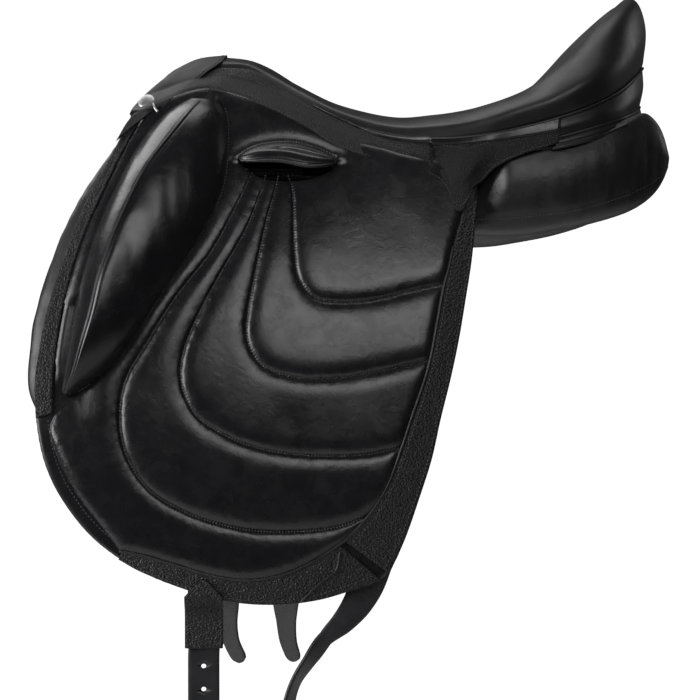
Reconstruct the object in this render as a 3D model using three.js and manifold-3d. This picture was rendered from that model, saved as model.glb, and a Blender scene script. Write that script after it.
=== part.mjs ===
// Dressage saddle with one flap a side, in millimetres.
// +Z is up, -X is towards the horse's head, -Y is the near (left) side.
// The origin is on the centre plane, level with the panels' bearing faces.
import * as THREE from "three";
import { mergeVertices } from "three/addons/utils/BufferGeometryUtils.js";
import Module from "manifold-3d";

// ---- driving dimensions ----
const SEAT_LEATHER = 2;          // seat cover
const SEAT_FOAM = 11;
const WEB_THICK = 1.6;
const TREE_WIDTH = 34;
const TREE_THICK = 9;
const FLAP_IN = -3;              // the flap lies between these two offsets
const FLAP_OUT = 4;
const TRIM_IN = 4.7;             // trims sewn on the flap's face
const TRIM_OUT = 6.6;
const BILLET_IN = -8;            // straps between the flap and its lining
const BILLET_OUT = -4.5;
const BILLET_WIDTH = 26;
const LINING_IN = -12;
const LINING_OUT = -9.5;
const BLOCK_HEIGHT = 30;         // thigh block above the flap
const POCKET_HEIGHT = 17;        // hood over the stirrup bar
const PANEL_LEATHER = 2.2;
const BAR_SIZE = 8;              // stirrup bar section
const FLAP_HALF_WIDTH = 184;     // half-width over the flaps at the bottom
const FLAP_LOW_Z = -320;
const LEVELS = { sleeve: -351, tail: -421 };

// ---- materials ----
const leather = (name, r, g, b, rough) => {
  const m = new THREE.MeshStandardMaterial({ roughness: rough, metalness: 0 });
  m.name = name;
  m.color.setRGB(r, g, b);
  return m;
};
const smoothLeather = () => leather("smooth_leather", 0.028, 0.027, 0.032, 0.36);
const grainLeather = () => leather("grain_leather", 0.02, 0.02, 0.023, 0.55);
const liningLeather = () => leather("lining_leather", 0.04, 0.038, 0.042, 0.7);
const billetLeather = () => leather("billet_leather", 0.022, 0.021, 0.024, 0.5);
const panelLeather = () => leather("panel_leather", 0.028, 0.027, 0.032, 0.38);
const foam = () => leather("foam", 0.55, 0.5, 0.36, 0.95);
const flock = () => leather("flock", 0.72, 0.7, 0.66, 0.98);
const webbing = () => leather("webbing", 0.55, 0.5, 0.4, 0.9);
const treeWood = () => leather("tree_laminate", 0.42, 0.28, 0.15, 0.6);
const steel = () => {
  const m = leather("steel", 0.5, 0.5, 0.52, 0.35);
  m.metalness = 1;
  return m;
};
const chrome = () => {
  const m = leather("chrome", 0.85, 0.85, 0.87, 0.12);
  m.metalness = 1;
  return m;
};

// ---- small helpers ----
const lerp = (a, b, t) => a + (b - a) * t;
const mix = (p, q, t) => p.map((c, i) => lerp(c, q[i], t));
const clamp = (t, lo, hi) => Math.min(hi, Math.max(lo, t));
const add = (p, q, k) => p.map((c, i) => c + q[i] * k);
const unit = (p) => {
  const n = Math.hypot(...p) || 1;
  return p.map((c) => c / n);
};
const cross = (a, b) => [
  a[1] * b[2] - a[2] * b[1],
  a[2] * b[0] - a[0] * b[2],
  a[0] * b[1] - a[1] * b[0],
];
const minus = (p, q) => p.map((c, i) => c - q[i]);

// A smooth curve through points, with t from 0 to 1 spread by chord length.
function rail(points) {
  const at = [0];
  for (let i = 1; i < points.length; i++) {
    at.push(at[i - 1] + Math.hypot(...minus(points[i], points[i - 1])));
  }
  const last = points.length - 1;
  const within = (i, u) => {
    const span = at[i + 1] - at[i];
    const p = points[i];
    const q = points[i + 1];
    const slope = (k) => {
      const a = Math.max(k - 1, 0);
      const b = Math.min(k + 1, last);
      return minus(points[b], points[a]).map((c) => (c * span) / (at[b] - at[a]));
    };
    const m0 = slope(i);
    const m1 = slope(i + 1);
    const u2 = u * u;
    const u3 = u2 * u;
    return p.map((c, k) => c * (2 * u3 - 3 * u2 + 1) + m0[k] * (u3 - 2 * u2 + u)
      + q[k] * (3 * u2 - 2 * u3) + m1[k] * (u3 - u2));
  };
  const curve = (t) => {
    const s = clamp(t, 0, 1) * at[last];
    let i = 0;
    while (i < last - 1 && at[i + 1] < s) i++;
    return within(i, (s - at[i]) / (at[i + 1] - at[i]));
  };
  curve.stops = at.map((s) => s / at[last]);
  curve.knot = (q) => {
    const i = clamp(Math.floor(q), 0, last - 1);
    return within(i, q - i);
  };
  return curve;
}

// The value of one coordinate of a rail where another has a given value.
function railWhere(curve, axis, value) {
  let lo = 0;
  let hi = 1;
  const up = curve(1)[axis] > curve(0)[axis];
  for (let i = 0; i < 40; i++) {
    const mid = (lo + hi) / 2;
    if (curve(mid)[axis] < value === up) lo = mid;
    else hi = mid;
  }
  return curve((lo + hi) / 2);
}

const steps = (n) => Array.from({ length: n + 1 }, (_, i) => i / n);

// ---- solids ----
function closedGeometry(triangles) {
  const g = new THREE.BufferGeometry();
  g.setAttribute("position", new THREE.Float32BufferAttribute(triangles.flat(2), 3));
  return facingOut(mergeVertices(g, 0.002));
}

// Drops triangles that shrank to a line, and turns the surface to face out.
function facingOut(g) {
  const p = g.attributes.position;
  const idx = g.index.array;
  const keep = [];
  let volume = 0;
  const at = (i) => [p.getX(i), p.getY(i), p.getZ(i)];
  for (let i = 0; i < idx.length; i += 3) {
    const [a, b, c] = [idx[i], idx[i + 1], idx[i + 2]];
    if (a === b || b === c || a === c) continue;
    keep.push(a, b, c);
    const [u, v, w] = [at(a), at(b), at(c)];
    const n = cross(v, w);
    volume += u[0] * n[0] + u[1] * n[1] + u[2] * n[2];
  }
  if (volume < 0) {
    for (let i = 0; i < keep.length; i += 3) {
      const held = keep[i + 1];
      keep[i + 1] = keep[i + 2];
      keep[i + 2] = held;
    }
  }
  g.setIndex(keep);
  return g;
}

const quad = (a, b, c, d) => [[a, b, c], [a, c, d]];

// A sheet between two grids of points. Walls close its four edges, apart from
// a last row that is folded onto itself.
function sheetSolid(outer, inner, folded = false) {
  const t = [];
  const rows = outer.length;
  const cols = outer[0].length;
  for (let i = 0; i < rows - 1; i++) {
    for (let j = 0; j < cols - 1; j++) {
      t.push(...quad(outer[i][j], outer[i][j + 1], outer[i + 1][j + 1], outer[i + 1][j]));
      t.push(...quad(inner[i][j], inner[i + 1][j], inner[i + 1][j + 1], inner[i][j + 1]));
    }
    t.push(...quad(outer[i][0], outer[i + 1][0], inner[i + 1][0], inner[i][0]));
    const e = cols - 1;
    t.push(...quad(outer[i][e], inner[i][e], inner[i + 1][e], outer[i + 1][e]));
  }
  for (let j = 0; j < cols - 1; j++) {
    t.push(...quad(outer[0][j], inner[0][j], inner[0][j + 1], outer[0][j + 1]));
    if (folded) continue;
    const e = rows - 1;
    t.push(...quad(outer[e][j], outer[e][j + 1], inner[e][j + 1], inner[e][j]));
  }
  return closedGeometry(t);
}

// A body through closed section loops, with flat ends, or joined end to end.
function loopSolid(loops, ring = false) {
  const t = [];
  const n = loops.length;
  const m = loops[0].length;
  for (let i = 0; i < (ring ? n : n - 1); i++) {
    const a = loops[i];
    const b = loops[(i + 1) % n];
    for (let j = 0; j < m; j++) {
      const k = (j + 1) % m;
      t.push(...quad(a[j], a[k], b[k], b[j]));
    }
  }
  if (!ring) {
    for (const [loop, flip] of [[loops[0], true], [loops[n - 1], false]]) {
      for (let j = 1; j < m - 1; j++) {
        const tri = [loop[0], loop[j], loop[j + 1]];
        t.push(flip ? [tri[0], tri[2], tri[1]] : tri);
      }
    }
  }
  return closedGeometry(t);
}

// A flat strap along centre points, with its width and thickness directions.
function strapSolid(centres, widths, across, through) {
  const loops = centres.map((c, i) => {
    const [w, t] = widths[i];
    const a = across[i];
    const n = through[i];
    return [[-1, -1], [1, -1], [1, 1], [-1, 1]].map(([x, y]) => (
      add(add(c, a, (x * w) / 2), n, (y * t) / 2)
    ));
  });
  return loopSolid(loops);
}

const offSide = (p) => [p[0], -p[1], p[2]];
function mirrored(g) {
  const m = g.clone();
  m.scale(1, -1, 1);
  return facingOut(m);
}

// ---- joining and cutting ----
const wasm = await Module();
wasm.setup();
function asManifold(g) {
  return new wasm.Manifold(new wasm.Mesh({
    numProp: 3,
    vertProperties: Float32Array.from(g.attributes.position.array),
    triVerts: Uint32Array.from(g.index.array),
  }));
}
function fromManifold(m) {
  const mesh = m.getMesh();
  const g = new THREE.BufferGeometry();
  g.setAttribute("position", new THREE.Float32BufferAttribute(mesh.vertProperties, 3));
  g.setIndex(Array.from(mesh.triVerts));
  return facingOut(mergeVertices(g, 0.002));
}
function plain(g) {
  g.deleteAttribute("normal");
  g.deleteAttribute("uv");
  return facingOut(mergeVertices(g, 0.002));
}

// ---- the flap's curved surface ----
// Half-width of the near flap: upright at the bottom, leaning in at the top.
function flapHalf(x, z) {
  const rise = Math.max((z - FLAP_LOW_Z) / 430, 0);
  return FLAP_HALF_WIDTH - 100 * rise ** 2.6 - 0.0003 * (x + 30) ** 2;
}
// A point over (x, z) of the flap, lifted off it along its normal.
function skin(x, z, lift) {
  const e = 0.5;
  const sx = (flapHalf(x + e, z) - flapHalf(x - e, z)) / (2 * e);
  const sz = (flapHalf(x, z + e) - flapHalf(x, z - e)) / (2 * e);
  const n = Math.hypot(1, sx, sz);
  return [x - (lift * sx) / n, -(flapHalf(x, z) + lift / n), z - (lift * sz) / n];
}
const onSkin = (lift) => (p) => skin(p[0], p[1], lift);
// The same, but lifted straight out sideways.
const over = (x, z, lift) => [x, -(flapHalf(x, z) + lift), z];

// A patch between four boundary curves: top, bottom, front and rear.
function patch(top, bottom, front, rear) {
  const corner = [top(0), top(1), bottom(0), bottom(1)];
  return (u, v) => top(u).map((c, k) => (
    lerp(c, bottom(u)[k], v) + lerp(front(v)[k], rear(v)[k], u)
    - lerp(lerp(corner[0][k], corner[1][k], u), lerp(corner[2][k], corner[3][k], u), v)
  ));
}
function gridOf(surface, us, vs) {
  return vs.map((v) => us.map((u) => surface(u, v)));
}
const mapGrid = (grid, f) => grid.map((row) => row.map(f));

// ---- the flap and what is sewn to it ----
const flapFront = rail([
  [-200, 92], [-216, 57], [-232, 26], [-245, -6], [-256, -39], [-265, -70], [-271, -101],
  [-275, -132], [-275, -158], [-268, -196], [-253, -228], [-226, -261], [-188, -287],
  [-150, -302], [-100, -314],
]);
const flapRear = rail([
  [100, 54], [99, 24], [91, -28], [84, -63], [77, -97], [69, -130], [60, -163], [52, -196],
  [41, -229], [29, -262], [18, -286], [4, -298], [-14, -303], [-34, -309],
]);
const flapTop = rail([[-200, 92], [-172, 108], [-137, 122], [-104, 116], [-74, 105], [-30, 84],
  [20, 66], [60, 58], [100, 54]]);
const flapBottom = rail([[-100, -314], [-67, -314], [-34, -309]]);
const flapPatch = patch(flapTop, flapBottom, flapFront, flapRear);

function flapSheet(inLift, outLift, us, vs) {
  const grid = gridOf(flapPatch, us, vs);
  return sheetSolid(mapGrid(grid, onSkin(outLift)), mapGrid(grid, onSkin(inLift)));
}
function flap() {
  const body = asManifold(flapSheet(FLAP_IN, FLAP_OUT, steps(8), steps(15)));
  const [x0, x1, z0, z1] = [-96, -34, 41, 61];
  const window = new THREE.BoxGeometry(x1 - x0, 60, z1 - z0);
  window.translate((x0 + x1) / 2, -112, (z0 + z1) / 2);
  return fromManifold(body.subtract(asManifold(plain(window))));
}
function flapLining() {
  const inset = steps(6).map((u) => lerp(0.03, 0.97, u));
  const down = steps(10).map((v) => lerp(0.17, 0.975, v));
  return flapSheet(LINING_IN, LINING_OUT, inset, down);
}

// A trim between two rails on the flap's face.
function trim(outerEdge, innerEdge, count, inLift, outLift) {
  const grid = steps(count).map((t) => [outerEdge(t), mix(outerEdge(t), innerEdge(t), 0.5),
    innerEdge(t)]);
  return sheetSolid(mapGrid(grid, onSkin(outLift)), mapGrid(grid, onSkin(inLift)));
}
const stripOuter = rail([[-203, 84], [-216, 57], [-232, 26], [-245, -6], [-256, -39],
  [-265, -70], [-271, -101], [-275, -132], [-274, -162]]);
const stripInner = rail([[-190, 92], [-206, 60], [-219, 31], [-233, -2], [-244, -35],
  [-252, -68], [-257, -100], [-260, -132], [-260, -158]]);
function frontStrip() {
  return trim(stripOuter, stripInner, 12, TRIM_IN, TRIM_OUT);
}
const rearBandOuter = rail([[99, 26], [91, -28], [84, -63], [77, -97], [69, -130], [60, -163],
  [52, -196], [41, -229], [29, -262], [16, -290]]);
const rearBandInner = rail([[84, 10], [75, -18], [66, -54], [59, -86], [51, -121], [42, -148],
  [33, -172], [18, -212], [-2, -243], [-22, -262]]);
function rearBand() {
  return trim(rearBandOuter, rearBandInner, 12, TRIM_IN, TRIM_OUT);
}
const bottomBandOuter = rail([[10, -295], [-14, -303], [-43, -311], [-77, -314.5], [-113, -312],
  [-150, -302], [-188, -287], [-206, -277]]);
const bottomBandInner = rail([[-24, -266], [-40, -275], [-67, -288], [-97, -294], [-127, -291],
  [-158, -282], [-186, -273], [-203, -271]]);
function bottomBand() {
  return trim(bottomBandOuter, bottomBandInner, 12, TRIM_IN, TRIM_OUT);
}

// The thigh block: a steep front face up to a piped ridge, a long rear face.
const blockFront = rail([[-150, 115], [-174, 98], [-194, 70], [-210, 38], [-225, 2], [-236, -34],
  [-244, -70], [-249, -101], [-252, -124], [-253, -138]]);
const blockRidge = rail([[-137, 113], [-146, 103], [-162, 81], [-182, 53], [-197, 24],
  [-212, -12], [-223, -47], [-230, -78], [-238, -105], [-245, -128], [-251, -141]]);
const blockRear = rail([[-124, 114], [-117, 98], [-116, 68], [-120, 34], [-131, 6], [-150, -27],
  [-174, -62], [-193, -93], [-216, -121], [-235, -136], [-248, -144]]);
const blockRise = rail([[0, 0.34], [0.06, 0.66], [0.16, 0.9], [0.35, 1.02], [0.6, 1.02],
  [0.8, 0.9], [0.93, 0.62], [1, 0.28]]);
const BLOCK_SECTION = [[0, 0], [0.45, 0.72], [1, 1], [1.22, 1.05], [1.5, 0.9], [1.8, 0.48],
  [2, 0]];
function blockPoint(t, across, rise) {
  const high = BLOCK_HEIGHT * railWhere(blockRise, 0, t)[1];
  const p = across < 1 ? mix(blockFront(t), blockRidge(t), across)
    : mix(blockRidge(t), blockRear(t), across - 1);
  return over(p[0], p[1], 5.7 + rise * high);
}
function block() {
  return loopSolid(steps(14).map((t) => BLOCK_SECTION.map(([s, r]) => blockPoint(t, s, r))));
}

// The padded hood over the stirrup bar, open below.
const hoodTop = rail([[-106, 59], [-99, 68], [-86, 74], [-61, 76], [-38, 68], [-22, 58]]);
const hoodLip = rail([[-105, 57], [-95, 56], [-71, 55], [-51, 51], [-34, 52], [-23, 56]]);
function barPocket() {
  const section = (u, thick) => [0, 0.3, 0.65, 1].map((s) => {
    const full = Math.sin(Math.PI * clamp(u, 0.03, 0.97)) ** 0.55;
    const [x, z] = mix(hoodTop(u), hoodLip(u), s);
    const rise = POCKET_HEIGHT * full * Math.sin((Math.PI / 2) * Math.min(s / 0.65, 1.25));
    return over(x, z, 5.7 + Math.max(rise, 0) + thick);
  });
  return sheetSolid(steps(8).map((u) => section(u, 3.4)), steps(8).map((u) => section(u, 0)));
}

// The panel's front roll, which stands out past the flap's front edge.
const rollLine = rail([[-206, 78], [-216, 57], [-232, 26], [-245, -6], [-256, -39], [-265, -70],
  [-271, -101], [-274, -132], [-268, -158]]);
function frontRoll() {
  const loops = steps(12).map((t) => {
    const [x, z] = rollLine(t);
    const [xa, za] = rollLine(t - 0.03);
    const [xb, zb] = rollLine(t + 0.03);
    const along = unit([xb - xa, zb - za]);
    const outward = [along[1], -along[0]];
    const full = Math.sin(Math.PI * lerp(0.1, 0.95, t)) ** 0.4;
    const reach = 17 * full;
    const wide = (reach + 34) / 2;
    const thick = 8.5 * full;
    return steps(8).slice(0, 8).map((k) => {
      const a = k * 2 * Math.PI;
      const w = reach - wide + wide * Math.cos(a);
      return skin(x + outward[0] * w, z + outward[1] * w, -21.5 + thick * Math.sin(a));
    });
  });
  return loopSolid(loops);
}

// ---- girth straps ----
// The two sides hang differently: the off straps turn edge-on and curl back.
const STRAPS = {
  near: {
    frontX: -136.5,
    frontHidden: [[-96, 20], [-108, -60], [-124, -150], [-136.5, -250]],
    frontTail: [[-136.5, -352], [-136.5, -357], [-136.5, -385], [-136.5, -412],
      [-136.5, LEVELS.tail]],
    frontTurn: [0, 0, 0, 0, 0],
    rearHidden: [[-8, 20], [4, -80], [10, -160], [11, -230], [3, -285], [-5, -308],
      [-18, -327], [-36, -344]],
    rearWidth: [[0, 30], [0.25, 34], [0.5, 38], [0.72, 36], [0.84, 30], [0.93, 22], [1, 13]],
    rearTail: [[-39, -350], [-49, -362], [-60, -378.5], [-65.5, -394], [-67, -408],
      [-64, LEVELS.tail]],
    rearTurn: [[0, 45], [0.35, 62], [0.7, 58], [1, 25]],
  },
  off: {
    frontX: -110,
    frontHidden: [[-92, 20], [-96, -60], [-102, -150], [-110, -250]],
    frontTail: [[-110, -352], [-110, -357], [-109.5, -380], [-105, -400], [-95, LEVELS.tail]],
    frontTurn: [0, 8, 40, 55, 58],
    rearHidden: [[-8, 20], [-14, -80], [-24, -160], [-36, -240], [-44, -300], [-49, -344]],
    rearWidth: [[0, 30], [0.5, 30], [1, 25]],
    rearTail: [[-49.5, -348.5], [-50, -362], [-49.5, -380], [-47.5, -400], [-43, -414],
      [-40, LEVELS.tail]],
    rearTurn: [[0, 8], [0.3, 45], [0.7, 52], [1, 56]],
  },
};
function flatStrap(line, width, inLift, outLift, count) {
  const loops = steps(count).map((t) => {
    const [x, z] = line(t);
    const a = line(t - 0.02);
    const b = line(t + 0.02);
    const along = unit([b[0] - a[0], b[1] - a[1]]);
    const half = width(t) / 2;
    const left = [x + along[1] * half, z - along[0] * half];
    const right = [x - along[1] * half, z + along[0] * half];
    return [skin(...left, inLift), skin(...right, inLift), skin(...right, outLift),
      skin(...left, outLift)];
  });
  return loopSolid(loops);
}
function frontBillet(side) {
  const line = rail([...side.frontHidden, [side.frontX, LEVELS.sleeve + 4]]);
  return flatStrap(line, () => BILLET_WIDTH, BILLET_IN, BILLET_OUT, 12);
}
// A hanging strap end, turned about its own length by a number of degrees.
// It is thinned at the top, where it bends.
function hangingStrap(points, turns, widths, thicks) {
  const loops = points.map(([x, z], i) => {
    const y = -flapHalf(points[0][0], -352) - (BILLET_IN + BILLET_OUT) / 2;
    const a = (turns[i] * Math.PI) / 180;
    const [px, pz] = points[Math.max(i - 1, 0)];
    const [qx, qz] = points[Math.min(i + 1, points.length - 1)];
    const along = unit([qx - px, 0, qz - pz]);
    const across = unit(cross(along, unit([Math.sin(a), -Math.cos(a), 0])));
    const n = unit(cross(across, along));
    return [[-1, -1], [1, -1], [1, 1], [-1, 1]].map(([u, v]) => (
      add(add([x, y, z], across, (u * widths[i]) / 2), n, (v * thicks[i]) / 2)));
  });
  return loopSolid(loops);
}
function frontBilletTail(side) {
  const w = BILLET_WIDTH;
  const t = BILLET_OUT - BILLET_IN;
  let strap = asManifold(hangingStrap(side.frontTail, side.frontTurn,
    [w, w, w, w, w * 0.4], [t * 0.4, t, t, t, t]));
  if (side === STRAPS.near) {
    for (const z of [-366, -385, -404]) {
      const hole = new THREE.CylinderGeometry(2.2, 2.2, 24, 10);
      hole.translate(side.frontX, -flapHalf(side.frontX, z), z);
      strap = strap.subtract(asManifold(plain(hole)));
    }
  }
  return fromManifold(strap);
}
// The keeper sewn under the flap's edge, which the front strap passes through.
function billetSleeve(side) {
  const half = BILLET_WIDTH / 2;
  const ring = (z, grow) => [[-1, BILLET_IN - grow], [1, BILLET_IN - grow],
    [1, BILLET_OUT + grow], [-1, BILLET_OUT + grow]].map(([edge, lift]) => (
    skin(side.frontX + edge * (half + grow), z, lift)));
  const [top, low] = [-316, LEVELS.sleeve];
  return loopSolid([ring(top, 2.4), ring(low, 2.4), ring(low, 0.5), ring(top, 0.5)], true);
}
function rearBillet(side) {
  const wide = rail(side.rearWidth);
  return flatStrap(rail(side.rearHidden), (t) => railWhere(wide, 0, t)[1], BILLET_IN,
    BILLET_OUT, 12);
}
function rearBilletTail(side) {
  const line = rail(side.rearTail);
  const turn = rail(side.rearTurn);
  const ts = steps(9);
  return hangingStrap(ts.map(line), ts.map((t) => railWhere(turn, 0, t)[1]),
    ts.map((t) => lerp(side.rearWidth.at(-1)[1] + 3, 21, t)), ts.map((t) => (t < 0.05 ? 1.4 : 3)));
}

// ---- the seat ----
// Rails run from the pommel to the back of the cantle.
const seatCentre = rail([[-120, 0, 163], [-94, 0, 159], [-75, 0, 151], [-51, 0, 136],
  [-12, 0, 113], [34, 0, 100], [68, 0, 98], [98, 0, 101], [126, 0, 109], [148, 0, 119],
  [167, 0, 131], [185, 0, 146], [205, 0, 167], [229, 0, 193], [248, 0, 211]]);
const seatCrest = rail([[-120, -26, 160], [-94, -29, 157], [-75, -32, 149], [-51, -38, 134],
  [-12, -52, 114], [34, -70, 102], [68, -82, 103], [98, -93, 107], [126, -101, 115],
  [148, -104, 125], [170, -105, 139], [196, -100, 159], [222, -83, 183], [242, -58, 202],
  [256, -28, 214.5], [261, 0, 217.5]]);
const seatSide = rail([[-120, -40, 153], [-96, -45, 151], [-75, -50, 141], [-50, -58, 126],
  [-14, -74, 106], [30, -92, 92], [70, -108, 91], [102, -118, 95], [134, -126, 104],
  [162, -129, 113], [190, -127, 127], [218, -113, 144], [243, -87, 164], [262, -52, 184],
  [272, -22, 193], [274.5, 0, 195]]);
const seatSeam = rail([[-120, -44, 147], [-96, -49, 145], [-78, -54, 137], [-58, -62, 122],
  [-17, -79, 98], [27, -97, 82], [74, -113, 79], [108, -121, 82], [143, -126, 89],
  [172, -127, 97], [202, -121, 108], [228, -103, 122], [250, -73, 139], [265, -39, 152],
  [271.5, -16, 157], [272.5, 0, 158]]);
// A point of the seat: q runs from 0 at the centre, over the crest at 2, to
// the seam at 4, and v from the pommel to the back.
function seatPoint(q, v) {
  const c = seatCentre(v);
  const k = seatCrest(v);
  const inner = mix(c, k, 0.5);
  const m = [inner[0], inner[1], inner[2] - lerp(1.2, 0, clamp((v - 0.85) * 8, 0, 1))];
  return rail([c, m, k, seatSide(v), seatSeam(v)]).knot(q);
}
const SEAT_COLUMNS = [0, 0.6, 1.2, 1.65, 2, 2.35, 2.8, 3.4, 4];
const SEAT_ROWS = steps(20);
// The whole width of the seat, off side to near side, row by row.
function seatGrid(columns, rows) {
  return rows.map((v) => {
    const near = columns.map((s) => seatPoint(s, v));
    const off = near.slice(columns[0] === 0 ? 1 : 0).reverse().map(offSide);
    return [...off, ...near];
  });
}
// Each point moved along the surface's own normal, which lies in the centre
// plane at the centre and along the folded last row.
function lifted(grid, d, folded) {
  return grid.map((row, i) => row.map((p, j) => {
    const up = grid[Math.max(i - 1, 0)][j];
    const down = grid[Math.min(i + 1, grid.length - 1)][j];
    const left = row[Math.max(j - 1, 0)];
    const right = row[Math.min(j + 1, row.length - 1)];
    let n = cross(minus(down, up), minus(left, right));
    if (folded && i === grid.length - 1) {
      const along = minus(right, left);
      n = [along[2], 0, -along[0]];
      if (j < (row.length - 1) / 2) n = n.map((c) => -c);
      if (j === (row.length - 1) / 2) {
        const next = row[j + 1];
        n = [-(next[2] - p[2]), 0, next[0] - p[0]];
      }
      if (n[0] * (p[0] - 235) + n[2] * (p[2] - 180) < 0) n = n.map((c) => -c);
    }
    n = unit(n);
    if (Math.abs(p[1]) < 1e-6) n = unit([n[0], 0, n[2]]);
    return add(p, n, d);
  }));
}
const SEAT_GRID = seatGrid(SEAT_COLUMNS, SEAT_ROWS);
// A layer of the seat: the middle columns of some rows, between two depths.
function seatLayer(columns, fromRow, toRow, outLift, inLift) {
  const folded = toRow === SEAT_ROWS.length;
  const middle = SEAT_COLUMNS.length - 1;
  const part = (grid) => grid.slice(fromRow, toRow)
    .map((row) => row.slice(middle - columns, middle + columns + 1));
  return sheetSolid(part(lifted(SEAT_GRID, outLift, true)), part(lifted(SEAT_GRID, inLift, true)),
    folded);
}
function seatCover() {
  return seatLayer(SEAT_COLUMNS.length - 1, 0, SEAT_ROWS.length, 0, -SEAT_LEATHER);
}
function seatFoam() {
  const top = -SEAT_LEATHER - 1;
  return seatLayer(5, 0, 19, top, top - SEAT_FOAM);
}
const WEB_TOP = -SEAT_LEATHER - SEAT_FOAM - 2.6;
function seatWeb() {
  return seatLayer(3, 2, 17, WEB_TOP, WEB_TOP - WEB_THICK);
}

// The tree: a laminated loop of head, two bars and cantle under the webbing.
function tree() {
  const lift = WEB_TOP - WEB_THICK - 4 - TREE_THICK / 2;
  const under = (q, v) => {
    const e = 0.02;
    const p = seatPoint(q, v);
    const a = minus(seatPoint(q, v + e), seatPoint(q, v - e));
    const b = minus(seatPoint(q - e, v), seatPoint(q + e, v));
    const sunk = lift - 9 * Math.max(v - 0.68, 0) / 0.2;
    return { p: add(p, unit(cross(a, b)), sunk), n: unit(cross(a, b)) };
  };
  const near = [];
  for (const [x, y, z, ny, nz, wide] of [[-151, 0, 139, 0, 1, 0.5],
    [-152, -14, 136, -0.4, 0.9, 0.5], [-150, -29, 125, -0.8, 0.6, 0.6],
    [-138, -37, 112, -0.8, 0.6, 0.8]]) {
    near.push({ p: [x, y, z], n: unit([0, ny, nz]), wide });
  }
  for (const v of [0.12, 0.2, 0.28, 0.36, 0.44, 0.52, 0.6, 0.68]) near.push(under(1.6, v));
  for (const [q, v] of [[1.5, 0.75], [1.3, 0.8], [0.9, 0.85], [0.4, 0.875]]) {
    near.push(under(q, v));
  }
  const back = under(0.03, 0.885);
  const off = near.slice(1).reverse()
    .map((q) => ({ p: offSide(q.p), n: offSide(q.n), wide: q.wide }));
  const path = [...near, { p: [back.p[0], 0, back.p[2]], n: unit([back.n[0], 0, back.n[2]]) },
    ...off];
  const loops = path.map((q, i) => {
    const a = path[(i + path.length - 1) % path.length].p;
    const b = path[(i + 1) % path.length].p;
    const along = unit(minus(b, a));
    const across = unit(cross(along, q.n));
    const w = (TREE_WIDTH * (q.wide ?? 1)) / 2;
    const t = TREE_THICK / 2;
    return [[-w, -t * 0.5], [-w * 0.7, -t], [w * 0.7, -t], [w, -t * 0.5], [w, t * 0.5],
      [w * 0.7, t], [-w * 0.7, t], [-w, t * 0.5]].map(([c, d]) => (
      add(add(q.p, across, c), q.n, d)));
  });
  return loopSolid(loops, true);
}

// ---- leather over the pommel and round the cantle ----
// A sheet of a given thickness standing out from a grid of points.
function offset(grid, d, guess) {
  return grid.map((row, i) => row.map((p, j) => {
    const up = grid[Math.max(i - 1, 0)][j];
    const down = grid[Math.min(i + 1, grid.length - 1)][j];
    const left = row[Math.max(j - 1, 0)];
    const right = row[Math.min(j + 1, row.length - 1)];
    let n = unit(cross(minus(down, up), minus(right, left)));
    const g = guess(p);
    if (n[0] * g[0] + n[1] * g[1] + n[2] * g[2] < 0) n = n.map((c) => -c);
    if (Math.abs(p[1]) < 1e-6) n = unit([n[0], 0, n[2]]);
    return add(p, n, d);
  }));
}

// The skirt: sewn to the seat above, loose over the flap's top edge below.
const skirtBottom = rail([
  ...[[-212, 72], [-198, 86], [-175, 105]].map(([x, z]) => over(x, z, 9)),
  ...[[-150, 120], [-130, 121], [-104, 114], [-74, 102], [-44, 85], [-30, 74], [-10, 65],
    [20, 55], [47, 47], [66, 40], [73, 30], [77, 17], [83, 13], [89, 20], [93, 32], [104, 41],
  ].map(([x, z]) => over(x, z, 6.6)),
  [118, -124, 54], [144, -128, 65], [166, -129, 72], [173, -129, 80],
]);
const skirtTop = rail([[-122, -45.5, 146], [-96, -50.5, 143.5], [-78, -55.5, 135.5],
  [-58, -63.5, 120.5], [-17, -80.5, 96.5], [27, -98.5, 80.5], [74, -114.5, 77.5],
  [108, -122.5, 80.5], [143, -127.5, 87.5], [172, -128.5, 95.5]]);
const skirtFront = rail([[-122, -45.5, 146], [-140, -51, 136], [-153, -56, 124],
  [-164, -59, 114], [-178, -63, 103], [-194, -68, 95], over(-212, 72, 9)]);
const skirtRear = rail([[172, -128.5, 95.5], [175, -129, 88], [173, -129, 80]]);
const skirtPatch = patch(skirtTop, skirtBottom, skirtFront, skirtRear);
const sideways = () => [0, -1, 0.4];
function skirt() {
  const belly = (p, v) => add(p, [0, -0.85, 0.5], 5 * Math.sin(Math.PI * v) * (p[0] < 60 ? 1 : 0.3));
  const clear = (p) => {
    const above = Math.max(p[2] - railWhere(flapTop, 0, p[0])[1] - 3, 0);
    const behind = Math.max(p[0] - 100, 0);
    const lift = p[0] < -175 ? 9 : 6.8;
    return [p[0], Math.min(p[1], -(flapHalf(p[0], p[2]) + lift - above - behind * 0.8)), p[2]];
  };
  const grid = steps(6).map((v) => (
    skirtBottom.stops.map((u) => clear(belly(skirtPatch(u, v), v)))));
  return sheetSolid(offset(grid, 2, sideways), grid);
}

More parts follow.
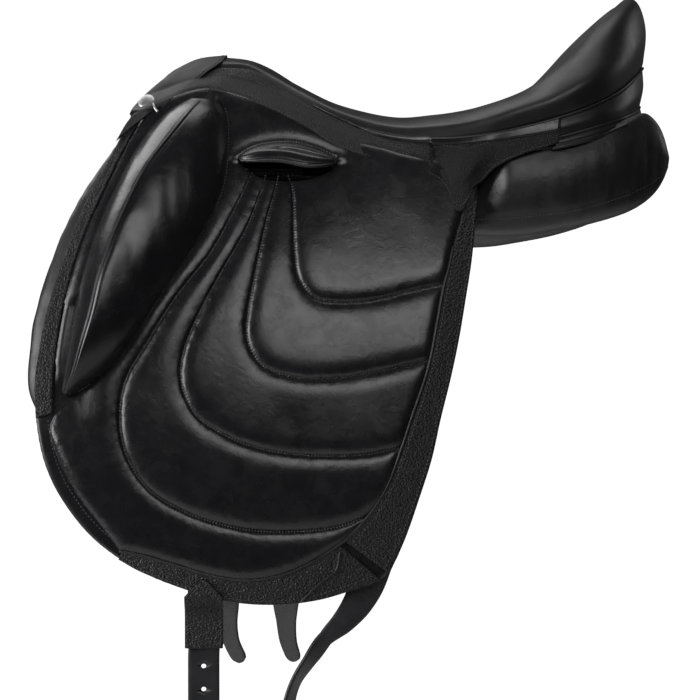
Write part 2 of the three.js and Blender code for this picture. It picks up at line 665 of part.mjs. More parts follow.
// The cap: smooth leather from stud to stud, over the head of the tree.
const capSeam = rail([[-122, 0, 163.5], [-122, -26, 160.5], [-122, -40, 153.5],
  [-123.5, -44.5, 147], [-142, -50, 137], [-155, -55, 125], [-166, -58, 115], [-178, -61, 105],
  [-190, -63, 99]]);
const capCrown = rail([[-140, 0, 161], [-140, -22, 158], [-143, -36, 150], [-152, -44, 141],
  [-160, -50, 133], [-168, -55, 124], [-176, -58, 117], [-184, -60, 110], [-193, -62, 101]]);
const capFront = rail([[-159, 0, 151], [-160, -20, 148], [-163, -33, 141], [-168, -41, 134],
  [-174, -47, 127], [-181, -52, 120], [-187, -55, 113], [-193, -58, 106], [-198, -60, 100]]);
const capUnder = rail([[-166, 0, 146], [-167, -18, 143], [-170, -30, 136], [-174, -37, 129],
  [-180, -43, 122], [-186, -47, 115], [-192, -50, 108], [-197, -53, 102], [-200, -55, 98]]);
function wholeRows(half) {
  return [...half.slice(1).reverse().map((row) => row.map(offSide)), ...half];
}
const fromHead = (p) => minus(p, [-140, 0, 60]);
function pommelCap() {
  const half = steps(10).map((t) => [capSeam, capCrown, capFront, capUnder].map((r) => r(t)));
  const grid = wholeRows(half);
  return sheetSolid(grid, offset(grid, -2, fromHead));
}
const STUD_AT = 0.82;
function studFrame() {
  const p = mix(capCrown(STUD_AT), capFront(STUD_AT), 0.5);
  const along = minus(capCrown(STUD_AT + 0.05), capCrown(STUD_AT - 0.05));
  const across = minus(capFront(STUD_AT), capCrown(STUD_AT));
  let n = unit(cross(along, across));
  if (n[1] > 0) n = n.map((c) => -c);
  return { p, n };
}
function stud() {
  const profile = [[0, 0.5], [8, 0.5], [8.2, 1.6], [7, 3], [4, 4.2], [0, 4.7]];
  const g = new THREE.LatheGeometry(profile.map(([x, y]) => new THREE.Vector2(x, y)), 16);
  const { p, n } = studFrame();
  const turn = new THREE.Quaternion().setFromUnitVectors(
    new THREE.Vector3(0, 1, 0), new THREE.Vector3(...n));
  g.applyQuaternion(turn);
  g.translate(...add(p, n, 0.6));
  return plain(g);
}
// A bright edging below the stud, along the end of the cap.
function capTrim() {
  const line = rail([[-193.5, -62.5, 112], [-194, -64, 108.5], [-192.5, -65.5, 105],
    [-190.5, -67, 102.5]]);
  const ts = steps(5);
  return strapSolid(ts.map(line), ts.map((t) => [lerp(2, 5, t), 1.2]),
    ts.map(() => unit([1, -0.2, 0.3])), ts.map(() => unit([-0.2, -0.95, 0.1])));
}

// The cantle band and the welt below it run right round the back of the seat.
const bandTop = rail([[176, -127.5, 97], [202, -121, 106.6], [228, -103, 120.6], [250, -72, 137.5],
  [266, -36, 151.5], [272, 0, 156.6]]);
const bandLow = rail([[178, -128, 81.5], [204, -122, 89], [231, -104, 99], [251, -73, 109],
  [263, -37, 118], [268, 0, 121]]);
const weltLow = rail([[176, -127, 72], [202, -121, 79], [229, -103, 89.5], [249, -73, 99.5],
  [261, -37, 108.5], [266, 0, 112]]);
function around(rails, count, drop) {
  const half = steps(count).map((t) => rails.map((r) => add(r(1 - t), [0, 0, 1], drop)));
  return wholeRows(half);
}
const outward = (p) => [p[0] - 120, p[1], 0];
function band(top, low, bulge, thick, drop) {
  const middle = (t) => add(mix(top(t), low(t), 0.5), unit(outward(mix(top(t), low(t), 0.5))),
    bulge);
  const grid = around([top, middle, low], 10, drop);
  return sheetSolid(grid, offset(grid, -thick, outward));
}
function cantleBand() {
  return band(bandTop, bandLow, 2, 3, 0);
}
function cantleWelt() {
  return band(bandLow, weltLow, 2.5, 4, -0.8);
}

// ---- the panels ----
// Each station holds x, the inner edge, the outer edge, the bottom and the top.
const panelStations = rail([
  [-190, 50, 84, 46, 80, 62], [-180, 47, 92, 34, 78, 62], [-160, 44, 104, 18, 66, 58],
  [-125, 42, 112, 7, 46, 50], [-60, 42, 116, 1, 44, 48], [-10, 42, 119, 0, 46, 48],
  [50, 42, 122, -3, 52, 46], [100, 42, 124, -4, 54, 48], [140, 43, 126, -3, 62, 54],
  [172, 44, 126, 0, 67, 58], [200, 46, 123, 5, 75, 64], [220, 48, 118, 10.5, 82, 70],
  [240, 50, 110, 17.5, 91, 78], [255, 54, 101, 25.5, 98, 85], [265, 58, 95, 34, 94, 85],
  [273, 63, 89, 45, 82, 78], [278.5, 69, 83, 57, 69, 67],
]);
// The panel keeps inside the flap, and swells out again behind it.
function panelLimit(x, z) {
  const underRoll = 18 * clamp((-130 - x) / 30, 0, 1);
  const free = clamp((x - 100) / 40, 0, 1);
  return lerp(flapHalf(x, z) - 15 - underRoll, 130, free);
}
// The section, from the gullet edge under the bottom to the outer top edge.
function panelSection(t, inset) {
  const [x, yi, yo, zb, zt, ztIn] = panelStations(t);
  const k = inset;
  const w = yo - yi;
  const h = zt - zb;
  return [
    [yi + w * 0.08 + k, ztIn - k * 0.2],
    [yi + k, zb + h * 0.42],
    [yi + w * 0.08 + k * 0.8, zb + h * 0.17 + k * 0.7],
    [yi + w * 0.32, zb + h * 0.03 + k],
    [yi + w * 0.62, zb + k],
    [yi + w * 0.88 - k * 0.5, zb + h * 0.08 + k * 0.9],
    [yo - k, zb + h * 0.34 + k * 0.3],
    [yo + 2 - k, zb + h * 0.66],
    [yo - w * 0.06 - k, zt - k * 0.2],
  ].map(([y, z]) => [x, -Math.min(y, panelLimit(x, z) - k), z]);
}
const PANEL_STATIONS = steps(18);
function panel() {
  return sheetSolid(PANEL_STATIONS.map((t) => panelSection(t, 0)),
    PANEL_STATIONS.map((t) => panelSection(t, PANEL_LEATHER)));
}
function panelFlock() {
  return loopSolid(PANEL_STATIONS.slice(1, -1).map((t) => panelSection(t, PANEL_LEATHER + 1.4)));
}

// ---- steel under the head and the stirrup bars ----
function headPlate() {
  const half = [[-160, 0, 124], [-161, -15, 120], [-165, -24, 108], [-171, -32, 94],
    [-178, -42, 80]];
  const line = [...half.slice(1).reverse().map(offSide), ...half];
  const loops = line.map((p, i) => {
    const along = unit(minus(line[Math.min(i + 1, line.length - 1)], line[Math.max(i - 1, 0)]));
    const wide = unit([1, 0, 0.25]);
    const n = unit(cross(along, wide));
    return [[-1, -1], [1, -1], [1, 1], [-1, 1]].map(([a, b]) => (
      add(add(p, wide, a * 11), n, b * 1.5)));
  });
  return loopSolid(loops);
}
const BAR_Y = -95;
const BAR_Z = 57;
function stirrupBar() {
  const path = [[-42, -73, 71], [-92, -73, 71], [-103, -77, 69], [-108, -86, 64],
    [-107, -91, 60], [-98, BAR_Y, BAR_Z], [-70, BAR_Y, BAR_Z], [-44, BAR_Y, BAR_Z]];
  const h = BAR_SIZE / 2;
  const loops = path.map((p, i) => {
    const along = unit(minus(path[Math.min(i + 1, path.length - 1)], path[Math.max(i - 1, 0)]));
    const side = unit(cross(along, [0, 0, 1]));
    const up = unit(cross(side, along));
    return [[-1, -1], [1, -1], [1, 1], [-1, 1]].map(([a, b]) => (
      add(add(p, side, a * h), up, b * h)));
  });
  const bar = asManifold(loopSolid(loops));
  const foot = new THREE.BoxGeometry(58, 3, 24);
  foot.translate(-68, -73, 74);
  return fromManifold(bar.add(asManifold(plain(foot))));
}
// The safety catch at the bar's open end turns up to keep the leather on.
function barCatch() {
  const g = new THREE.BoxGeometry(15, BAR_SIZE, 5);
  g.translate(-35.2, BAR_Y, BAR_Z + 0.5);
  return plain(g);
}

// ---- output ----
const saddle = new THREE.Group();
function piece(name, geometry, material) {
  const mesh = new THREE.Mesh(geometry, material);
  mesh.name = name;
  saddle.add(mesh);
  return mesh;
}
function pair(name, geometry, material) {
  piece(`near_${name}`, geometry, material());
  piece(`off_${name}`, mirrored(geometry), material());
}
function straps(name, make, material) {
  piece(`near_${name}`, make(STRAPS.near), material());
  piece(`off_${name}`, mirrored(make(STRAPS.off)), material());
}

piece("seat_cover", seatCover(), smoothLeather());
piece("seat_foam", seatFoam(), foam());
piece("seat_web", seatWeb(), webbing());
piece("tree", tree(), treeWood());
pair("flap", flap(), smoothLeather);
pair("flap_lining", flapLining(), liningLeather);
pair("front_strip", frontStrip(), grainLeather);
pair("rear_band", rearBand(), grainLeather);
pair("bottom_band", bottomBand(), grainLeather);
pair("thigh_block", block(), smoothLeather);
pair("bar_pocket", barPocket(), smoothLeather);
pair("front_roll", frontRoll(), panelLeather);
straps("front_billet", frontBillet, billetLeather);
straps("front_billet_tail", frontBilletTail, billetLeather);
straps("billet_sleeve", billetSleeve, grainLeather);
straps("rear_billet", rearBillet, billetLeather);
straps("rear_billet_tail", rearBilletTail, billetLeather);

pair("skirt", skirt(), grainLeather);
piece("pommel_cap", pommelCap(), smoothLeather());
pair("stud", stud(), chrome);
pair("cap_trim", capTrim(), chrome);
piece("cantle_band", cantleBand(), smoothLeather());
piece("cantle_welt", cantleWelt(), smoothLeather());
pair("panel", panel(), panelLeather);
pair("panel_flock", panelFlock(), flock);
piece("head_plate", headPlate(), steel());
pair("stirrup_bar", stirrupBar(), steel);
pair("bar_catch", barCatch(), steel);

export default saddle;
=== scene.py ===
"""A dressage saddle in black leather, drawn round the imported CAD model.

Lengths are in millimetres until a mesh is made. +Z is up, -X is towards the
horse's head and -Y is the near side. Near pieces are built, and mirrored for
the off side. Only the girth straps hang in another way there.
"""
import math
import bmesh
import bpy
import numpy as np
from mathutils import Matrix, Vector, noise


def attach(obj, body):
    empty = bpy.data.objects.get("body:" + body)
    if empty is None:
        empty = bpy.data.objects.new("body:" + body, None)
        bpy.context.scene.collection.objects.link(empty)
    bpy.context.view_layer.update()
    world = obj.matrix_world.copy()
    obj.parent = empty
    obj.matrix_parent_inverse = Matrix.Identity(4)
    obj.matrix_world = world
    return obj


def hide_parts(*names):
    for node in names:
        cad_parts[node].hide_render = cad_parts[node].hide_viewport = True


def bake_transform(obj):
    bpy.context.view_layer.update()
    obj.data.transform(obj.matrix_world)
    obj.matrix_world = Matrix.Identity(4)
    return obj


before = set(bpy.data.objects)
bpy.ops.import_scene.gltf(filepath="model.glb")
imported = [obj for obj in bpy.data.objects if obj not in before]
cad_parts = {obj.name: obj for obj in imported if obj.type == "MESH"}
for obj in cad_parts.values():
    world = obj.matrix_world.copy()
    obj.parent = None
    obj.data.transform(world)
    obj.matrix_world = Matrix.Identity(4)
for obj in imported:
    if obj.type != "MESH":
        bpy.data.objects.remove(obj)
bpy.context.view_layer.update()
MM = 0.001
SIDES = {"near": 1.0, "off": -1.0}
OUTWARD = np.array([0.0, -1.0, 0.0])
UPWARD = np.array([0.0, 0.0, 1.0])

# ---- levels over the flap, along its normal ----
FLAP_IN = -3.0
FLAP_OUT = 4.0
TRIM_IN = 4.0
TRIM_OUT = 6.6
STRAP_MID = -6.25
LINING_IN = -12.0
LINING_OUT = -9.5

# ---- widths, heights and thicknesses of pieces ----
BILLET_WIDTH = 26.0
STRAP_THICK = 3.4
REAR_STRAP_THICK = 3.2
BLOCK_HEIGHT = 30.0
HOOD_HEIGHT = 17.0
SEAT_LEATHER = 2.0

# ---- the saddle's half-width over the flap ----
FLAP_HALF_WIDTH = 184.0
FLAP_LOW_Z = -320.0
LEAN_HEIGHT = 430.0
LEAN_IN = 100.0
LEAN_POWER = 2.6
BOW = 0.0003
BOW_CENTRE_X = -30.0

# How many points are tried along a rail to find a value, and how far apart for distances.
RAIL_SAMPLES = 600
RAIL_GAP = 2.5


# ---- curves and grids ----
def unit(v):
    v = np.asarray(v, float)
    return v / np.maximum(np.linalg.norm(v, axis=-1, keepdims=True), 1e-9)


def smooth_step(t):
    t = np.clip(t, 0.0, 1.0)
    return t * t * (3.0 - 2.0 * t)


class Rail:
    """A smooth curve through points, read by distance (0 to 1) or by knot."""

    def __init__(self, points):
        self.p = np.array(points, float)
        gaps = np.linalg.norm(np.diff(self.p, axis=0), axis=1)
        self.at = np.concatenate([[0.0], np.cumsum(gaps)])
        self.length = self.at[-1]
        count = len(self.p)
        a = np.maximum(np.arange(count) - 1, 0)
        b = np.minimum(np.arange(count) + 1, count - 1)
        reach = np.maximum(self.at[b] - self.at[a], 1e-9)
        self.slope = (self.p[b] - self.p[a]) / reach[:, None]

    def within(self, i, u):
        span = (self.at[i + 1] - self.at[i])[..., None]
        u = u[..., None]
        m0 = self.slope[i] * span
        m1 = self.slope[i + 1] * span
        u2 = u * u
        u3 = u2 * u
        return (self.p[i] * (2 * u3 - 3 * u2 + 1) + m0 * (u3 - 2 * u2 + u)
                + self.p[i + 1] * (3 * u2 - 2 * u3) + m1 * (u3 - u2))

    def __call__(self, t):
        s = np.clip(np.asarray(t, float), 0, 1) * self.length
        i = np.clip(np.searchsorted(self.at, s, side="left") - 1, 0, len(self.p) - 2)
        return self.within(i, (s - self.at[i]) / (self.at[i + 1] - self.at[i]))

    def knot(self, q):
        q = np.asarray(q, float)
        i = np.clip(np.floor(q).astype(int), 0, len(self.p) - 2)
        return self.within(i, q - i)

    def where(self, axis, value, other):
        """The other coordinate where one coordinate has a given value."""
        p = self(np.linspace(0, 1, RAIL_SAMPLES))
        order = np.argsort(p[:, axis])
        return np.interp(value, p[order, axis], p[order, other])


def steps(count):
    return np.linspace(0.0, 1.0, count + 1)


def edged(count, margin):
    """Even stops from 0 to 1, with closer ones inside a margin at each end."""
    close = np.array([0.0, 0.12, 0.4, 1.0]) * margin
    return np.concatenate([close, steps(count)[1:-1] * (1 - 2 * margin) + margin,
                           1 - close[::-1]])


def flap_half(x, z):
    """Half-width of the saddle over the flap, at x and z."""
    rise = np.maximum((z - FLAP_LOW_Z) / LEAN_HEIGHT, 0.0)
    return FLAP_HALF_WIDTH - LEAN_IN * rise ** LEAN_POWER - BOW * (x - BOW_CENTRE_X) ** 2


def skin(x, z, lift=0.0):
    """A point over the near flap, lifted along its normal."""
    x, z, lift = np.broadcast_arrays(np.asarray(x, float), np.asarray(z, float), lift)
    e = 0.5
    sx = (flap_half(x + e, z) - flap_half(x - e, z)) / (2 * e)
    sz = (flap_half(x, z + e) - flap_half(x, z - e)) / (2 * e)
    n = np.sqrt(1 + sx * sx + sz * sz)
    return np.stack([x - lift * sx / n, -(flap_half(x, z) + lift / n), z - lift * sz / n], -1)


def over(x, z, lift=0.0):
    """The same, lifted straight out sideways."""
    x, z, lift = np.broadcast_arrays(np.asarray(x, float), np.asarray(z, float), lift)
    return np.stack([x, -(flap_half(x, z) + lift), z], -1)


def on_flap(flat, lift=0.0):
    """The points and unit normals over the flap for flat (x, z) points."""
    points = skin(flat[..., 0], flat[..., 1], lift)
    return points, unit(skin(flat[..., 0], flat[..., 1], lift + 1.0) - points)


def level_plane(flat):
    """Flat (x, z) points as 3-D points, for noise."""
    return np.stack([flat[..., 0], flat[..., 1], 0 * flat[..., 0]], -1)


def direction(line, ts, reach):
    """The direction of a rail at some stops."""
    return unit(line(ts + reach) - line(ts - reach))


def turned_aside(along):
    """Flat directions turned by a right angle."""
    return np.stack([along[:, 1], -along[:, 0]], -1)


def patch(top, bottom, front, rear, us, vs):
    """A grid between four boundary rails; rows go from top to bottom."""
    u = us[None, :, None]
    v = vs[:, None, None]
    a, b = top(us)[None], bottom(us)[None]
    c, d = front(vs)[:, None], rear(vs)[:, None]
    corner = (top(0.0) * (1 - u) + top(1.0) * u) * (1 - v)
    corner = corner + (bottom(0.0) * (1 - u) + bottom(1.0) * u) * v
    return a * (1 - v) + b * v + c * (1 - u) + d * u - corner


def normals_of(grid, guess):
    """Unit normals of a grid of points, turned to the side of a guess."""
    padded = np.concatenate([grid[:1], grid, grid[-1:]])
    down = padded[2:] - padded[:-2]
    wide = np.concatenate([grid[:, :1], grid, grid[:, -1:]], axis=1)
    right = wide[:, 2:] - wide[:, :-2]
    n = unit(np.cross(down, right))
    flip = np.sum(n * guess, axis=-1, keepdims=True) < 0
    n = np.where(flip, -n, n)
    centre = np.abs(grid[..., 1]) < 1e-6
    n[centre, 1] = 0.0
    return unit(n)


def roughen(points, size, height, seed):
    """Soft random heights for an array of points, with bumps of a given size."""
    flat = points.reshape(-1, 3) / size + seed * 7.31
    values = np.array([noise.noise(Vector(p)) for p in flat])
    return (values * height).reshape(points.shape[:-1])


def distance_to(lines, points):
    """The distance from 2-D points to the nearest of some rails."""
    best = np.full(points.shape[:-1], 1e9)
    for line in lines:
        for q in line(np.linspace(0, 1, int(line.length / RAIL_GAP) + 2)):
            best = np.minimum(best, np.hypot(points[..., 0] - q[0], points[..., 1] - q[1]))
    return best


# ---- meshes ----
def add_object(name, data):
    ob = bpy.data.objects.new(name, data)
    bpy.context.scene.collection.objects.link(ob)
    return ob


def shade_smooth(mesh):
    mesh.polygons.foreach_set("use_smooth", [True] * len(mesh.polygons))


def add_mesh(name, verts, faces, material, scale=MM):
    mesh = bpy.data.meshes.new(name)
    mesh.from_pydata((np.asarray(verts, float) * scale).tolist(), [], faces)
    mesh.update()
    mesh.materials.append(material)
    shade_smooth(mesh)
    return add_object(name, mesh)


def mirrored(verts, faces):
    return np.asarray(verts) * [1, -1, 1], [tuple(reversed(f)) for f in faces]


def sheet(grid, normals, out, inn, edge=1.2, folded=False):
    """A closed leather sheet round a grid, with rounded edges.

    out and inn are its two faces' offsets. A folded last row meets itself.
    """
    rows, cols = grid.shape[:2]
    out = np.broadcast_to(out, (rows, cols))
    inn = np.broadcast_to(inn, (rows, cols))
    down = np.linalg.norm(np.diff(grid, axis=0), axis=2)
    across = np.linalg.norm(np.diff(grid, axis=1), axis=2)
    zero_row = np.zeros((1, cols))
    zero_col = np.zeros((rows, 1))
    d = np.concatenate([zero_row, np.cumsum(down, axis=0)])
    if not folded:
        d = np.minimum(d, d[-1:] - d)
    e = np.concatenate([zero_col, np.cumsum(across, axis=1)], axis=1)
    d = np.minimum(d, np.minimum(e, e[:, -1:] - e))
    k = np.clip(d / edge, 0, 1)
    swell = np.sqrt(1 - (1 - k) ** 2)
    mid = (out + inn) / 2
    half = (out - inn) / 2
    outer = grid + normals * (mid + half * swell)[..., None]
    inner = grid + normals * (mid - half * swell)[..., None]
    verts = np.concatenate([outer.reshape(-1, 3), inner.reshape(-1, 3)])
    a = np.arange(rows * cols).reshape(rows, cols)
    b = a + rows * cols
    shared = np.zeros((rows, cols), bool)
    shared[0] = shared[:, 0] = shared[:, -1] = True
    shared[-1] = shared[-1] | (not folded)
    b = np.where(shared, a, b)
    faces = []
    for q, flip in ((a, False), (b, True)):
        f = np.stack([q[:-1, :-1], q[:-1, 1:], q[1:, 1:], q[1:, :-1]], -1).reshape(-1, 4)
        faces += (f[:, ::-1] if flip else f).tolist()
    return tidy(verts, faces)


def refined(flat, lines, levels):
    """A flat 2-D grid as a mesh, split finer near some rails.

    Each level is a distance, inside which the edges are halved.
    """
    rows, cols = flat.shape[:2]
    mesh = bmesh.new()
    points = [[mesh.verts.new((p[0], p[1], 0.0)) for p in row] for row in flat]
    for i in range(rows - 1):
        for j in range(cols - 1):
            mesh.faces.new((points[i][j], points[i][j + 1], points[i + 1][j + 1],
                            points[i + 1][j]))
    bmesh.ops.remove_doubles(mesh, verts=mesh.verts, dist=0.01)
    for level in levels:
        ends = np.array([v.co[:2] for v in mesh.verts])
        near = distance_to(lines, ends) < level
        mesh.verts.index_update()
        edges = [e for e in mesh.edges if near[e.verts[0].index] or near[e.verts[1].index]]
        bmesh.ops.subdivide_edges(mesh, edges=edges, cuts=1, use_grid_fill=True)
    bmesh.ops.triangulate(mesh, faces=[f for f in mesh.faces if len(f.verts) > 4])
    mesh.verts.index_update()
    verts = np.array([v.co[:2] for v in mesh.verts])
    faces = [tuple(v.index for v in f.verts) for f in mesh.faces]
    rim = [v.index for v in mesh.verts if v.is_boundary]
    mesh.free()
    return verts, faces, rim


FLAP_ROUNDING = 2.6


def skin_sheet(flat, faces, rim, out, inn, outline):
    """A closed sheet over the flap from a flat mesh, with rounded edges."""
    x, z = flat[:, 0], flat[:, 1]
    k = np.clip(distance_to(outline, flat) / FLAP_ROUNDING, 0, 1)
    k[rim] = 0.0
    swell = np.sqrt(1 - (1 - k) ** 2)
    mid = (FLAP_OUT + FLAP_IN) / 2
    face = skin(x, z, mid + (out - mid) * swell)
    back = skin(x, z, mid + (inn - mid) * swell)
    other = np.arange(len(flat)) + len(flat)
    other[rim] = rim
    verts = np.concatenate([face, back])
    turned = [tuple(int(other[i]) for i in reversed(f)) for f in faces]
    return tidy(verts, faces + turned)


def tidy(verts, faces):
    """Welds points that coincide and drops the faces that shrink to nothing."""
    keys = np.round(verts, 4)
    _, first, back = np.unique(keys, axis=0, return_index=True, return_inverse=True)
    back = back.reshape(-1)
    clean = []
    for f in faces:
        g = []
        for i in f:
            j = int(back[i])
            if j not in g:
                g.append(j)
        if len(g) > 2:
            clean.append(tuple(g))
    verts = verts[first]
    if volume(verts, clean) <= 0:
        clean = [tuple(reversed(f)) for f in clean]
    return verts, clean


def volume(verts, faces):
    """The volume inside a closed mesh; it is negative if the faces turn inward."""
    total = 0.0
    for f in faces:
        a = verts[f[0]]
        for i in range(1, len(f) - 1):
            b, c = verts[f[i]], verts[f[i + 1]]
            total += (a[0] * (b[1] * c[2] - b[2] * c[1]) + a[1] * (b[2] * c[0] - b[0] * c[2])
                      + a[2] * (b[0] * c[1] - b[1] * c[0]))
    return total


def loft(loops, ring=False):
    """A closed body through section loops, capped, or joined end to end."""
    loops = np.asarray(loops, float)
    n, m = loops.shape[:2]
    verts = loops.reshape(-1, 3)
    faces = []
    for i in range(n if ring else n - 1):
        for j in range(m):
            k = (j + 1) % m
            i2 = (i + 1) % n
            faces.append((i * m + j, i * m + k, i2 * m + k, i2 * m + j))
    if not ring:
        faces.append(tuple(reversed(range(m))))
        faces.append(tuple(range((n - 1) * m, n * m)))
    return tidy(verts, faces)


def frames_along(path, hint):
    """Two directions across a path at each point; the first is near a hint."""
    wide = np.concatenate([path[:1], path, path[-1:]])
    along = unit(wide[2:] - wide[:-2])
    hint = np.broadcast_to(np.asarray(hint, float), path.shape)
    a = unit(hint - np.sum(hint * along, axis=1, keepdims=True) * along)
    return along, a, np.cross(along, a)


# A stitch's rings: how far along its half-length, and how thick.
STITCH_PROFILE = [(-1.0, 0.25), (-0.6, 0.9), (0.0, 1.0), (0.6, 0.9), (1.0, 0.25)]
STITCH_SIDES = 6
CORD_SIDES = 8
# A cord's end rings: how far beyond its last point, and how wide.
CORD_END = [(0.55, 0.85), (0.9, 0.45)]


def circle(count):
    """Even angles round a full turn."""
    return np.arange(count) * 2 * math.pi / count


def tube(path, radius, hint):
    """A round cord of leather with rounded ends."""
    path = np.asarray(path, float)
    along, a, b = frames_along(path, hint)
    rows = [(path[0] - along[0] * radius * out, a[0], b[0], radius * size)
            for out, size in CORD_END[::-1]]
    rows += [(path[i], a[i], b[i], radius) for i in range(len(path))]
    rows += [(path[-1] + along[-1] * radius * out, a[-1], b[-1], radius * size)
             for out, size in CORD_END]
    return loft([[c + (p * math.cos(t) + q * math.sin(t)) * r for t in circle(CORD_SIDES)]
                 for c, p, q, r in rows])


def join(parts):
    """Several bodies as one list of points and faces."""
    verts = []
    faces = []
    count = 0
    for v, f in parts:
        verts.append(v)
        faces += [tuple(i + count for i in g) for g in f]
        count += len(v)
    return np.concatenate(verts), faces


def stitches(path, normal, pitch=3.3, long=2.3, thick=0.42, sink=0.15):
    """A row of thread stitches along a path, each a short rounded bar."""
    line = Rail(path)
    count = max(int(line.length / pitch), 1)
    ts = (np.arange(count) + 0.5) / count
    centres = line(ts)
    ups = unit(Rail(normal).knot(ts * (len(normal) - 1)))
    ahead = direction(line, ts, 0.5 / count)
    side = unit(np.cross(ahead, ups))
    around = range(STITCH_SIDES)
    verts = []
    faces = []
    for c, u, f, s in zip(centres, ups, ahead, side):
        first = len(verts)
        for k, r in STITCH_PROFILE:
            dip = -thick * k * k * 0.9 - sink
            for t in circle(STITCH_SIDES):
                verts.append(c + f * long * 0.5 * k + s * math.cos(t) * thick * r
                             + u * (math.sin(t) * thick * r + dip))
        last = len(verts) - STITCH_SIDES
        for a in range(first, last, STITCH_SIDES):
            b = a + STITCH_SIDES
            for j in around:
                k = (j + 1) % STITCH_SIDES
                faces.append((a + j, b + j, b + k, a + k))
        faces.append(tuple(first + j for j in around))
        faces.append(tuple(last + j for j in reversed(around)))
    return np.array(verts), faces


def cut_with(ob, boxes):
    """Cuts closed shapes, given as points and faces, out of an object."""
    for verts, faces in boxes:
        tool = add_mesh("cutter", verts, faces, ob.data.materials[0])
        mod = ob.modifiers.new("cut", "BOOLEAN")
        mod.operation = "DIFFERENCE"
        mod.solver = "EXACT"
        mod.object = tool
        depsgraph = bpy.context.evaluated_depsgraph_get()
        mesh = bpy.data.meshes.new_from_object(ob.evaluated_get(depsgraph))
        ob.modifiers.remove(mod)
        old = ob.data
        ob.data = mesh
        bpy.data.meshes.remove(old)
        held = tool.data
        bpy.data.objects.remove(tool)
        bpy.data.meshes.remove(held)
        shade_smooth(ob.data)


# ---- placing pieces ----
def place(ob, body, slot, nodes=()):
    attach(ob, body)
    if nodes:
        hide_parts(*nodes)
    return ob


def single(name, geometry, material, slot, nodes=()):
    return place(add_mesh(name, *geometry, material), "saddle", slot, nodes)


def for_side(side, geometry):
    """Near geometry as it is, or mirrored for the off side."""
    return geometry if side == "near" else mirrored(*geometry)


def side_mesh(side, name, geometry, material):
    return add_mesh(f"{side}_{name}", *for_side(side, geometry), material)


def pair(name, geometry, material, slot, nodes=(), body="saddle"):
    """The near piece and its mirror image on the off side."""
    made = []
    for side in SIDES:
        ob = side_mesh(side, name, geometry, material)
        home = body if body == "saddle" else f"{side}_{body}"
        made.append(place(ob, home, slot, [f"{side}_{n}" for n in nodes]))
    return made


def on_flap_set(name, geometry, material, slot, nodes=()):
    """A pair that turns with the flaps."""
    return pair(name, geometry, material, slot, nodes, "flap_set")


# ---- materials ----
class Nodes:
    """Short calls for building one material's nodes."""

    def __init__(self, name):
        self.material = bpy.data.materials.new(name)
        self.material.use_nodes = True
        self.tree = self.material.node_tree
        self.shader = self.tree.nodes["Principled BSDF"]
        self.place = self.add("ShaderNodeTexCoord").outputs["Object"]

    def add(self, kind, **values):
        node = self.tree.nodes.new(kind)
        for key, value in values.items():
            if key in node.inputs:
                node.inputs[key].default_value = value
            else:
                setattr(node, key, value)
        return node

    def link(self, a, b):
        self.tree.links.new(a, b)

    def noise(self, scale, detail=2.0, rough=0.5, warp=0.0):
        n = self.add("ShaderNodeTexNoise", Scale=scale, Detail=detail, Roughness=rough,
                     Distortion=warp)
        self.link(self.place, n.inputs["Vector"])
        return n.outputs["Fac"]

    def cells(self, scale, feature="F1", at=None, **values):
        n = self.add("ShaderNodeTexVoronoi", feature=feature, Scale=scale, **values)
        self.link(at or self.place, n.inputs["Vector"])
        return n.outputs["Distance"]

    def span(self, value, low, high, to_low, to_high):
        n = self.add("ShaderNodeMapRange")
        n.inputs["From Min"].default_value = low
        n.inputs["From Max"].default_value = high
        n.inputs["To Min"].default_value = to_low
        n.inputs["To Max"].default_value = to_high
        self.link(value, n.inputs["Value"])
        return n.outputs["Result"]

    def math(self, operation, a, b):
        n = self.add("ShaderNodeMath", operation=operation)
        for socket, value in zip(n.inputs, (a, b)):
            if isinstance(value, (int, float)):
                socket.default_value = value
            else:
                self.link(value, socket)
        return n.outputs["Value"]

    def ramp(self, value, stops):
        n = self.add("ShaderNodeValToRGB")
        while len(n.color_ramp.elements) < len(stops):
            n.color_ramp.elements.new(0.5)
        for element, (where, colour) in zip(n.color_ramp.elements, stops):
            element.position = where
            element.color = (*colour, 1.0)
        self.link(value, n.inputs["Fac"])
        return n.outputs["Color"]

    def bump(self, height, strength, distance, below=None):
        n = self.add("ShaderNodeBump", Strength=strength, Distance=distance)
        self.link(height, n.inputs["Height"])
        if below is not None:
            self.link(below, n.inputs["Normal"])
        return n.outputs["Normal"]

    def edges(self):
        """1 on sharp raised edges, 0 elsewhere."""
        point = self.add("ShaderNodeNewGeometry").outputs["Pointiness"]
        return self.span(point, 0.5, 0.56, 0.0, 1.0)

    def waves(self, scale, **values):
        n = self.add("ShaderNodeTexWave", Scale=scale, **values)
        self.link(self.place, n.inputs["Vector"])
        return n.outputs["Fac"]

    def bumps(self, *layers):
        """Bumps one over another, each a height, a strength and a distance."""
        below = None
        for height, strength, distance in layers:
            below = self.bump(height, strength, distance, below)
        return below

    def finish(self, colour, rough, normal, **sockets):
        self.link(colour, self.shader.inputs["Base Color"])
        self.link(rough, self.shader.inputs["Roughness"])
        self.link(normal, self.shader.inputs["Normal"])
        for key, value in sockets.items():
            self.shader.inputs[key.replace("_", " ")].default_value = value
        return self.material


def scaled(colour, factor, extra=0.0):
    return tuple(c * factor + extra for c in colour)


def shades(base, worn):
    """Dark, plain and worn tones of one colour."""
    return [(0.25, scaled(base, 0.6)), (0.55, base), (0.78, scaled(base, 1.25)), (1.0, worn)]


CALF_BLACK = (0.0075, 0.0072, 0.0085)
PEBBLE_BLACK = (0.007, 0.007, 0.008)
LINING_BLACK = (0.02, 0.019, 0.021)
STRAP_BLACK = (0.012, 0.012, 0.014)
THREAD_BLACK = (0.06, 0.06, 0.065)


